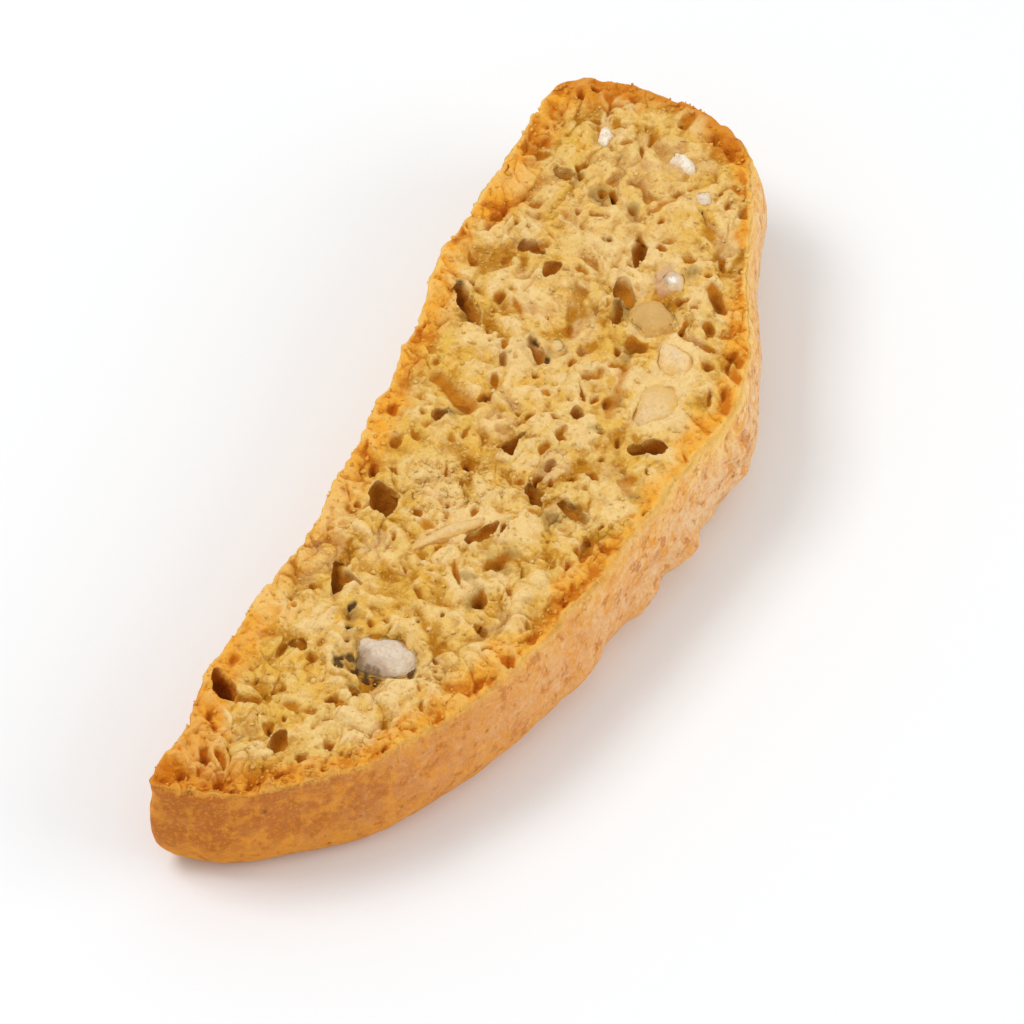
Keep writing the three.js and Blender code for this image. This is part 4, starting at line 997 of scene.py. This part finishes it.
# A nut: directions over a ball by slope and turn, each out to its reach, then sliced off level with the cut
def makeNut(name, nut):
    dx, dy, dz = ballPoints(nutRows, nutColumns).T
    under = "under" in name
    side = -1 if under else 1
    level = 0.0 if under else float(topHeight(nut["at"][0]))
    # softer chops: reach = -log(sum of exp(-k reach)) / k over the ball and the chops
    sharp = 22
    total = np.exp(-sharp * np.ones(len(dx)))
    for flat, distance in nutChops(nut):
        facing = dx * flat.x + dy * flat.y + dz * flat.z
        total += np.exp(-sharp * np.minimum(distance / np.maximum(facing, 0.15), 3))
    reach = -np.log(total) / sharp
    whole = np.exp(-sharp * np.ones(len(dx))) / total
    reach = reach * (1 + 0.04 * noise(3 * dx, 3 * dy, 3 * dz, nut["seed"]))
    a, b, c = nut["size"]
    ragged = nutRagged(nut, np.arctan2(dy, dx))
    px, py, pz = reach * dx * a * ragged, reach * dy * b * ragged, reach * dz * c
    # rim is 1 on the nut's widest outline
    rim = np.hypot(px / a, py / b) / nutWidth(nut, np.arctan2(py / b, px / a))
    # the cut: the lowest of three slanting facets that meet near the middle, falling off towards the rim
    cut = nut["proud"] + nutSink * c
    steepest = np.full(len(dx), -9.0)
    for k in range(3):
        heading = 2 * math.pi * (k + 0.8 * float(chance(k, 3, 0, nut["seed"]))) / 3
        offset = 0.5 * (float(chance(k, 4, 0, nut["seed"])) - 0.5) * b
        fall = nut["slant"] * (0.4 + 0.6 * float(chance(k, 5, 0, nut["seed"])))
        steepest = np.maximum(steepest, fall * (px * math.cos(heading) + py * math.sin(heading) - offset))
    cut = cut - np.maximum(steepest, -0.3) - nut["bulge"] * rim ** 2
    # rounded off into the sides, and a little rough
    soft = nut["dome"]
    up = cut - soft * np.log1p(np.exp(np.clip((cut - side * pz) / soft, -40, 40)))
    onCut = smoothStep(-1.2, -0.5, up - cut)
    rough = 0.13 * noise(px / 1.3, py / 1.3, 0, nut["seed"] + 1)
    rough += 0.07 * noise(px / 0.55, py / 0.55, 1, nut["seed"] + 2)
    rough += 0.3 * np.abs(noise(px / 2.8, py / 2.8, 3, nut["seed"] + 4)) - 0.1
    up += onCut * (rough - 0.25 * rim ** 4)
    if under:
        up = np.minimum(up, nut["proud"] + nutSink * c)
    pz = side * up
    angle = math.radians(nut["turn"])
    x = nut["at"][0] + px * math.cos(angle) - py * math.sin(angle)
    y = nut["at"][1] + px * math.sin(angle) + py * math.cos(angle) + biscuit["middleShift"]
    z = level - side * nutSink * c + pz
    quads, caps = ballFaces(len(dx), nutColumns)
    # skin: on the unchopped outside, and across the cut greyer then browner towards one side, a quarter turn
    # on from the nut's own length
    sideways = rim * (dy + 0.3 * dx) / np.maximum(1.04 * np.hypot(dx, dy), 1e-6)
    # white: glint adds a painted highlight in the middle, and fade one towards an end
    marks = {"skin": nut["skin"] * np.maximum(whole * (1 - onCut), smoothStep(0.05, 0.85, sideways)),
             "rim": rim, "dust": np.full(len(dx), nut["dust"]),
             "white": nut["white"] + nut.get("glint", 0) * bell(rim, 0, 0.3) - nut.get("fade", 0) * px / a,
             "tan": np.clip(nut["tan"] + nut.get("fade", 0) * px / a, 0, 1)}
    return makeMesh(name + "_meat", np.stack([x, y, z], axis=1), quads.tolist() + caps.tolist(), marks)


# Loose grains of crumb on the upper face: place + turn . (radii * ball), most where it is sandy or near
# the rim
grains = {"count": 1500, "radius": (0.11, 0.30), "rows": 4, "columns": 6, "seed": 5}


def makeGrains(upper, marks):
    g = grains
    draw = np.random.default_rng(g["seed"])
    x, y = upper[:, 0], upper[:, 1] - biscuit["middleShift"]
    sandy = 1 - smoothStep(0.5, 1.3, ellipseReach(x, y, *crumb["sandAt"]))
    wanted = (0.3 + 1.6 * sandy + 0.3 * bell(marks["edge"], 1.8, 1.3)) * (marks["sunk"] < 0.25)
    for name, nut in nuts.items():
        if "under" not in name:
            wanted = wanted * (np.hypot(*nutPlane(nut, x, y)) > 1.05)
    chosen = draw.choice(len(upper), g["count"], replace=False, p=wanted / wanted.sum())
    radius = mix(*g["radius"], draw.random(g["count"]) ** 2)
    ball = ballPoints(g["rows"], g["columns"])
    size = radius[:, None] * mix(0.45, 1.3, draw.random((g["count"], 3)))
    bumpy = mix(0.65, 1.25, draw.random((g["count"], len(ball), 1)))
    axes, _ = np.linalg.qr(draw.normal(size=(g["count"], 3, 3)))
    axes *= np.sign(np.linalg.det(axes))[:, None, None]
    shape = np.einsum("nij,npj->npi", axes, size[:, None] * ball[None] * bumpy)
    middle = upper[chosen] + np.stack([0 * radius, 0 * radius, 0.35 * radius], axis=1)
    places = (middle[:, None] + shape).reshape(-1, 3)
    count = len(ball)
    quads, caps = ballFaces(count, g["columns"])
    first = np.arange(g["count"])[:, None, None] * count
    faces = (quads[None] + first).reshape(-1, 4).tolist() + (caps[None] + first).reshape(-1, 3).tolist()
    each = {key: marks[key][chosen] for key in ("edge", "toast", "stainAndShade", "pale", "blush", "baked")}
    each.update({"sunk": 0 * radius, "ridge": mix(-0.05, 0.4, draw.random(g["count"])), "fleck": 0 * radius,
                 "shell": 0 * radius})
    spread = {key: np.repeat(values, count) for key, values in each.items()}
    return makeMesh("crumb_grains", places, faces, spread)


# Finishes

# a screen colour from 0 to 255 as light: v / 12.92 when dark, ((v + 0.055) / 1.055)^2.4 above that
def linearColour(red, green, blue):
    values = [channel / 255 for channel in (red, green, blue)]
    return (*(v / 12.92 if v <= 0.04045 else ((v + 0.055) / 1.055) ** 2.4 for v in values), 1.0)


# A material in the making: a principled shader, and each point's place in millimetres
class Finish:
    def __init__(self, name):
        self.material = bpy.data.materials.new(name)
        self.material.use_nodes = True
        self.nodes, self.links = self.material.node_tree.nodes, self.material.node_tree.links
        self.shader = self.nodes["Principled BSDF"]
        coordinates = self.nodes.new("ShaderNodeTexCoord")
        toMillimetres = self.nodes.new("ShaderNodeVectorMath")
        toMillimetres.operation = "SCALE"
        toMillimetres.inputs["Scale"].default_value = 1 / millimetre
        self.links.new(coordinates.outputs["Object"], toMillimetres.inputs[0])
        self.place = toMillimetres.outputs[0]

    # another node's output is linked to the socket, and anything else is set in it
    def put(self, value, socket):
        if isinstance(value, bpy.types.NodeSocket):
            self.links.new(value, socket)
        else:
            socket.default_value = value

    # the mesh's own mark of this name
    def attribute(self, name):
        node = self.nodes.new("ShaderNodeAttribute")
        node.attribute_name = name
        return node.outputs["Fac"]

    # size is the pattern's size in millimetres, stretch its scale on each axis
    def noise(self, size, detail=2.0, rough=0.5, bend=0.0, stretch=None):
        node = self.nodes.new("ShaderNodeTexNoise")
        node.inputs["Scale"].default_value = 1 / size
        node.inputs["Detail"].default_value = detail
        node.inputs["Roughness"].default_value = rough
        node.inputs["Distortion"].default_value = bend
        self.links.new(self.stretched(stretch), node.inputs["Vector"])
        return node.outputs["Fac"]

    # distance to the nearest of scattered centres, and that centre's own chance as a colour
    def spots(self, size):
        node = self.nodes.new("ShaderNodeTexVoronoi")
        node.inputs["Scale"].default_value = 1 / size
        self.links.new(self.place, node.inputs["Vector"])
        return node.outputs["Distance"], node.outputs["Color"]

    # place * stretch on each axis
    def stretched(self, stretch):
        if stretch is None:
            return self.place
        node = self.nodes.new("ShaderNodeMapping")
        node.inputs["Scale"].default_value = stretch
        self.links.new(self.place, node.inputs["Vector"])
        return node.outputs[0]

    # from 0 at low to 1 at high, times share
    def ramp(self, value, low, high, share=1.0):
        node = self.nodes.new("ShaderNodeMapRange")
        node.interpolation_type = "SMOOTHSTEP"
        node.inputs["From Min"].default_value = low
        node.inputs["From Max"].default_value = high
        node.inputs["To Max"].default_value = share
        self.put(value, node.inputs["Value"])
        return node.outputs["Result"]

    def math(self, operation, a, b):
        node = self.nodes.new("ShaderNodeMath")
        node.operation = operation
        self.put(a, node.inputs[0])
        self.put(b, node.inputs[1])
        return node.outputs[0]

    # value + (noise - 1/2) * amount
    def wander(self, value, size, amount, detail=3.0):
        centred = self.math("SUBTRACT", self.noise(size, detail), 0.5)
        return self.math("ADD", value, self.math("MULTIPLY", centred, amount))

    # a + (b - a) * share
    def colour(self, share, a, b):
        node = self.nodes.new("ShaderNodeMix")
        node.data_type = "RGBA"
        self.put(share, node.inputs["Factor"])
        self.put(a, node.inputs["A"])
        self.put(b, node.inputs["B"])
        return next(out for out in node.outputs if out.type == "RGBA")

    # the normal of the surface raised by height * distance, distance in millimetres
    def bump(self, height, distance):
        node = self.nodes.new("ShaderNodeBump")
        node.inputs["Distance"].default_value = distance * millimetre
        node.inputs["Strength"].default_value = 1.0
        self.put(height, node.inputs["Height"])
        return node.outputs["Normal"]

    # a share of the light goes in and comes out within radius * scale, scale in millimetres
    def soften(self, weight, radius, scale):
        self.shader.inputs["Subsurface Weight"].default_value = weight
        self.shader.inputs["Subsurface Radius"].default_value = radius
        self.shader.inputs["Subsurface Scale"].default_value = scale * millimetre


doughColours = {
    "gold": linearColour(234, 184, 78),
    "straw": linearColour(238, 196, 110),
    "butter": linearColour(240, 178, 64),
    "cream": linearColour(248, 212, 146),
    "shade": linearColour(190, 124, 4),
    "pit": linearColour(206, 132, 26),
    "deepPit": linearColour(160, 92, 8),
    "olive": linearColour(160, 122, 56),
    "blush": linearColour(214, 168, 136),
    "skin": linearColour(84, 48, 20),
    "toast": linearColour(248, 171, 44),
    "toastDark": linearColour(212, 118, 8),
    "toastDeep": linearColour(166, 84, 8),
    # the colour of the painted highlight along the rim and on raised toast
    "rimLight": linearColour(252, 200, 106),
    "crustTan": linearColour(255, 204, 118),
    "crustPink": linearColour(240, 198, 148),
    "crustRose": linearColour(232, 158, 84),
    "crustGold": linearColour(236, 154, 46),
    "crustBrown": linearColour(196, 108, 28),
    "flour": linearColour(255, 220, 170),
}


# baked dough: each line lays a colour over the tone so far, where a mark or a noise passes a level
def doughFinish():
    c = doughColours
    f = Finish("baked dough")
    edge, sunk, ridge, toast = (f.attribute(name) for name in ("edge", "sunk", "ridge", "toast"))
    stainAndShade, fleck, pale, blush = (f.attribute(name) for name in ("stainAndShade", "fleck", "pale", "blush"))
    shell, baked = f.attribute("shell"), f.attribute("baked")
    # crumb
    tone = f.colour(f.ramp(f.noise(7.0), 0.38, 0.62), c["gold"], c["straw"])
    tone = f.colour(f.ramp(f.noise(3.2, 1, bend=0.6), 0.52, 0.64, 0.45), tone, c["butter"])
    tone = f.colour(f.ramp(f.noise(1.4, 3, 0.6), 0.50, 0.36, 0.6), tone, c["shade"])
    tone = f.colour(f.ramp(f.noise(1.2, 3, 0.6, bend=0.4), 0.52, 0.66, 0.5), tone, c["cream"])
    # painted shade in the crumb's low places and a painted highlight on its raised ones
    tone = f.colour(f.ramp(f.wander(ridge, 0.8, 0.3), 0.06, -0.42, 0.95), tone, c["shade"])
    tone = f.colour(f.ramp(f.wander(ridge, 0.9, 0.5), 0.08, 0.60, 0.8), tone, c["cream"])
    tone = f.colour(f.ramp(f.wander(pale, 1.6, 0.7), 0.2, 0.9, 0.75), tone, c["cream"])
    tone = f.colour(f.ramp(f.noise(0.5, 3, 0.65), 0.54, 0.68, 0.4), tone, c["cream"])
    tone = f.colour(f.ramp(f.noise(0.4, 3, 0.65), 0.46, 0.34, 0.28), tone, c["shade"])
    # olive patches: stains, and painted shade in crevices and beside nuts
    tone = f.colour(f.ramp(f.wander(stainAndShade, 1.2, 0.5), 0.25, 0.95, 0.62), tone, c["olive"])
    tone = f.colour(f.ramp(f.wander(blush, 0.9, 0.7), 0.25, 0.9, 0.7), tone, c["blush"])
    # toasted towards the crust, darker where browned; painted shade in its dips, painted highlights on its
    # ridges and along the very edge
    # the share of flour dusting and of the painted rim highlights that stays, less where browned
    flourAndRimHighlight = f.math("MAXIMUM", f.math("SUBTRACT", 1.0, f.math("MULTIPLY", baked, 0.8)), 0.0)
    toastTone = f.colour(f.ramp(f.wander(ridge, 1.2, 0.9), 0.15, -0.35), c["toast"], c["toastDark"])
    toastTone = f.colour(f.ramp(f.noise(1.0, 3, 0.6, bend=0.4), 0.51, 0.66, 0.5), toastTone, c["gold"])
    toastTone = f.colour(f.ramp(f.noise(0.7, 3, 0.6), 0.48, 0.36, 0.6), toastTone, c["toastDark"])
    toastTone = f.colour(f.ramp(ridge, 0.2, 0.6, 0.5), toastTone, c["rimLight"])
    toastTone = f.colour(f.ramp(f.wander(baked, 2.0, 0.5), 0.55, 1.2, 0.75), toastTone, c["toastDark"])
    tone = f.colour(f.math("MULTIPLY", toast, 0.9), tone, toastTone)
    rimEdgeHighlight = f.math("MULTIPLY", f.ramp(f.wander(edge, 1.2, 1.2), 0.6, 0.0, 0.95), flourAndRimHighlight)
    tone = f.colour(rimEdgeHighlight, tone, c["rimLight"])
    # holes: painted shade deepening with depth, along with a browner bake inside
    pitTone = f.colour(toast, c["pit"], c["toastDark"])
    deepTone = f.colour(toast, c["deepPit"], c["toastDeep"])
    tone = f.colour(f.ramp(f.wander(sunk, 0.6, 0.15), 0.10, 0.55), tone, pitTone)
    tone = f.colour(f.ramp(f.wander(sunk, 0.9, 0.35), 0.5, 1.0, 0.9), tone, deepTone)
    tone = f.colour(f.ramp(f.wander(fleck, 0.5, 0.5), 0.25, 0.95, 0.9), tone, c["skin"])
    # crust: golden at the top and pinker low down, browner towards the tip, sandy all over
    crustTone = f.colour(f.ramp(f.wander(edge, 2.5, 3.0), -1.5, -5.5), c["crustTan"], c["crustPink"])
    crustTone = f.colour(f.ramp(f.noise(3.4, 3, 0.6), 0.46, 0.66, 0.5), crustTone, c["crustRose"])
    crustTone = f.colour(f.ramp(f.wander(baked, 4.0, 0.5), 0.15, 0.9, 0.9), crustTone, c["crustRose"])
    crustTone = f.colour(f.ramp(f.wander(baked, 3.6, 0.5, 2), 0.72, 1.28, 0.95), crustTone, c["crustBrown"])
    lowGold = f.math("MULTIPLY", f.ramp(f.wander(edge, 4.0, 6.0), -7.0, -12.5, 0.8), baked)
    crustTone = f.colour(lowGold, crustTone, c["crustGold"])
    # painted shade in the crust's wrinkles and dimples
    crustTone = f.colour(f.ramp(ridge, -0.03, -0.16, 0.6), crustTone, c["crustBrown"])
    crustTone = f.colour(f.ramp(f.noise(2.6, 3, 0.6, bend=0.5), 0.48, 0.66, 0.8), crustTone, c["crustGold"])
    crustTone = f.colour(f.ramp(f.noise(1.5, 3, 0.6), 0.53, 0.64, 0.7), crustTone, c["crustBrown"])
    crustTone = f.colour(f.ramp(f.noise(0.6, 4, 0.7), 0.48, 0.62, 0.6), crustTone, c["crustGold"])
    dusting = f.math("MULTIPLY", f.ramp(f.noise(1.3, 3, 0.65), 0.50, 0.68, 0.55), flourAndRimHighlight)
    fineDusting = f.math("MULTIPLY", f.ramp(f.noise(0.42, 3, 0.65), 0.48, 0.68, 0.5), flourAndRimHighlight)
    crustTone = f.colour(dusting, crustTone, c["flour"])
    crustTone = f.colour(fineDusting, crustTone, c["flour"])
    # a painted highlight along the crust's worn top edge, less where browned
    crustTopHighlight = f.math("MULTIPLY", f.ramp(f.wander(edge, 0.8, 0.8), -1.6, -0.2, 0.85), flourAndRimHighlight)
    crustTone = f.colour(crustTopHighlight, crustTone, c["rimLight"])
    # dark dots for the crust's pinholes: painted shade, each also dented a little in the bump below
    holeAway, holeChance = f.spots(2.6)
    holeDots = f.math("MULTIPLY", f.ramp(holeAway, 0.13, 0.0), f.ramp(holeChance, 0.66, 0.7))
    crustTone = f.colour(f.math("MULTIPLY", holeDots, 0.6), crustTone, c["deepPit"])
    tone = f.colour(f.ramp(f.wander(shell, 0.8, 0.5), 0.4, 0.6), tone, crustTone)
    f.put(tone, f.shader.inputs["Base Color"])
    f.put(f.math("SUBTRACT", 0.9, f.math("MULTIPLY", shell, 0.12)), f.shader.inputs["Roughness"])
    f.shader.inputs["Specular IOR Level"].default_value = 0.25
    f.soften(0.12, (1.0, 0.5, 0.2), 0.8)
    # bump: fine grain everywhere, finer in the crumb, orange peel on the crust
    grain = f.math("ADD", f.noise(0.42, 4, 0.65), f.math("MULTIPLY", f.noise(0.95, 2), 0.45))
    grain = f.math("SUBTRACT", grain, f.math("MULTIPLY", holeDots, shell))
    f.put(f.bump(grain, 0.34), f.shader.inputs["Normal"])
    return f.material


nutColours = {
    "meat": linearColour(242, 206, 144),
    "white": linearColour(222, 204, 182),
    "bright": linearColour(255, 244, 226),
    "tan": linearColour(212, 168, 96),
    "tanEdgeShade": linearColour(164, 108, 40),
    "grey": linearColour(180, 152, 128),
    "skin": linearColour(92, 60, 36),
    "fibre": linearColour(212, 168, 104),
    "crumb": linearColour(232, 184, 98),
}


# roasted almond, laid up in the same way
def nutFinish():
    c = nutColours
    f = Finish("roasted almond")
    skin, rim, white, tan, dust = (f.attribute(name) for name in ("skin", "rim", "white", "tan", "dust"))
    tone = f.colour(f.ramp(f.noise(1.1, 3, 0.6, stretch=(1, 0.4, 1)), 0.5, 0.68, 0.55), c["meat"], c["fibre"])
    tone = f.colour(f.ramp(white, 0.0, 1.0), tone, c["white"])
    tone = f.colour(f.ramp(white, 1.0, 1.6), tone, c["bright"])
    # tan nuts painted darker towards the rim: painted shade round the domed edge
    tanTone = f.colour(f.ramp(f.wander(rim, 1.6, 0.8), 0.5, 1.1, 0.7), c["tan"], c["tanEdgeShade"])
    tone = f.colour(tan, tone, tanTone)
    tone = f.colour(f.ramp(f.noise(0.4, 3, 0.65), 0.50, 0.34, 0.5), tone, c["fibre"])
    mottled = f.math("MULTIPLY", f.ramp(f.noise(0.9, 4, 0.65), 0.46, 0.66, 0.35), f.ramp(white, 0.1, 0.8))
    tone = f.colour(mottled, tone, c["grey"])
    tone = f.colour(f.ramp(f.wander(skin, 1.1, 0.5), 0.1, 0.6, 0.8), tone, c["grey"])
    tone = f.colour(f.ramp(f.wander(skin, 0.55, 0.7), 0.62, 1.05, 0.85), tone, c["skin"])
    clinging = f.math("MULTIPLY", f.ramp(f.wander(rim, 1.0, 1.1), 0.45, 0.95), dust)
    tone = f.colour(clinging, tone, c["crumb"])
    f.put(tone, f.shader.inputs["Base Color"])
    f.shader.inputs["Roughness"].default_value = 0.7
    f.shader.inputs["Specular IOR Level"].default_value = 0.3
    f.soften(0.2, (1.0, 0.7, 0.45), 0.8)
    grain = f.math("ADD", f.noise(0.4, 4, 0.6), f.noise(1.0, 3, 0.6, stretch=(1, 0.4, 1)))
    f.put(f.bump(grain, 0.24), f.shader.inputs["Normal"])
    return f.material


floorShades = ((0.86, 0.86, 0.86, 1), (0.88, 0.88, 0.88, 1))


# a pale floor, mixed from two shades by very broad noise
def floorFinish():
    f = Finish("pale floor")
    tone = f.colour(f.noise(300.0), *floorShades)
    f.put(tone, f.shader.inputs["Base Color"])
    f.shader.inputs["Roughness"].default_value = 0.8
    f.shader.inputs["Specular IOR Level"].default_value = 0.2
    return f.material


# Put together
doughMaterial = doughFinish()
biscotto, upperPlaces, upperMarks = makeSlice()
biscotto.data.materials.append(doughMaterial)
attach(biscotto, "root")
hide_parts("baked_slice")

looseGrains = makeGrains(upperPlaces, upperMarks)
looseGrains.data.materials.append(doughMaterial)
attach(looseGrains, "root")
print("grains:", grains["count"])

nutMaterial = nutFinish()
for nutName, nutFacts in nuts.items():
    nutPiece = makeNut(nutName, nutFacts)
    nutPiece.data.materials.append(nutMaterial)
    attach(nutPiece, "root")
    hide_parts(nutName)
print("nuts:", len(nuts))

# Floor, light and camera
stageSettings = {
    "floorSize": 6.0,
    "keyPower": 3.6, "keySize": 0.40, "keyAt": (-0.12, 0.48, 0.82),
    "fillPower": 3.4, "fillSize": 0.8, "fillAt": (0.24, -0.94, 0.52),
    "skyStrength": 0.74, "skyColour": (0.965, 0.985, 1.0, 1),
    "azimuth": -65.0, "elevation": 50.0, "distance": 2.2, "lens": 740.0,
    "aim": (0.0, 0.0, 0.0075),
}
half = stageSettings["floorSize"] / 2
floorCorners = [(-half, -half, 0), (half, -half, 0), (half, half, 0), (-half, half, 0)]
floorMesh = bpy.data.meshes.new("floor")
floorMesh.from_pydata(floorCorners, [], [(0, 1, 2, 3)])
floor = bpy.data.objects.new("floor", floorMesh)
bpy.context.scene.collection.objects.link(floor)
floorMesh.materials.append(floorFinish())


# a square lamp that faces the aim; the camera sees its light alone
def addSoftbox(name, at, size, power, aim):
    light = bpy.data.lights.new(name, "AREA")
    light.shape = "SQUARE"
    light.size = size
    light.energy = power
    lamp = bpy.data.objects.new(name, light)
    lamp.location = at
    lamp.rotation_euler = (Vector(aim) - Vector(at)).to_track_quat("-Z", "Y").to_euler()
    lamp.visible_camera = False
    bpy.context.scene.collection.objects.link(lamp)


s = stageSettings
addSoftbox("key softbox", s["keyAt"], s["keySize"], s["keyPower"], s["aim"])
addSoftbox("fill softbox", s["fillAt"], s["fillSize"], s["fillPower"], s["aim"])

world = bpy.data.worlds.new("studio")
world.use_nodes = True
world.node_tree.nodes["Background"].inputs["Color"].default_value = s["skyColour"]
world.node_tree.nodes["Background"].inputs["Strength"].default_value = s["skyStrength"]
bpy.context.scene.world = world
bpy.context.scene.view_settings.view_transform = "Standard"

cameraData = bpy.data.cameras.new("camera")
cameraData.lens = s["lens"]
cameraData.clip_end = 20
camera = bpy.data.objects.new("camera", cameraData)
turn, lift = math.radians(s["azimuth"]), math.radians(s["elevation"])
back = Vector((math.sin(turn) * math.cos(lift), -math.cos(turn) * math.cos(lift), math.sin(lift)))
camera.location = Vector(s["aim"]) + back * s["distance"]
camera.rotation_euler = (-back).to_track_quat("-Z", "Y").to_euler()
bpy.context.scene.collection.objects.link(camera)
bpy.context.scene.camera = camera
print("stage: floor, two softboxes, camera")
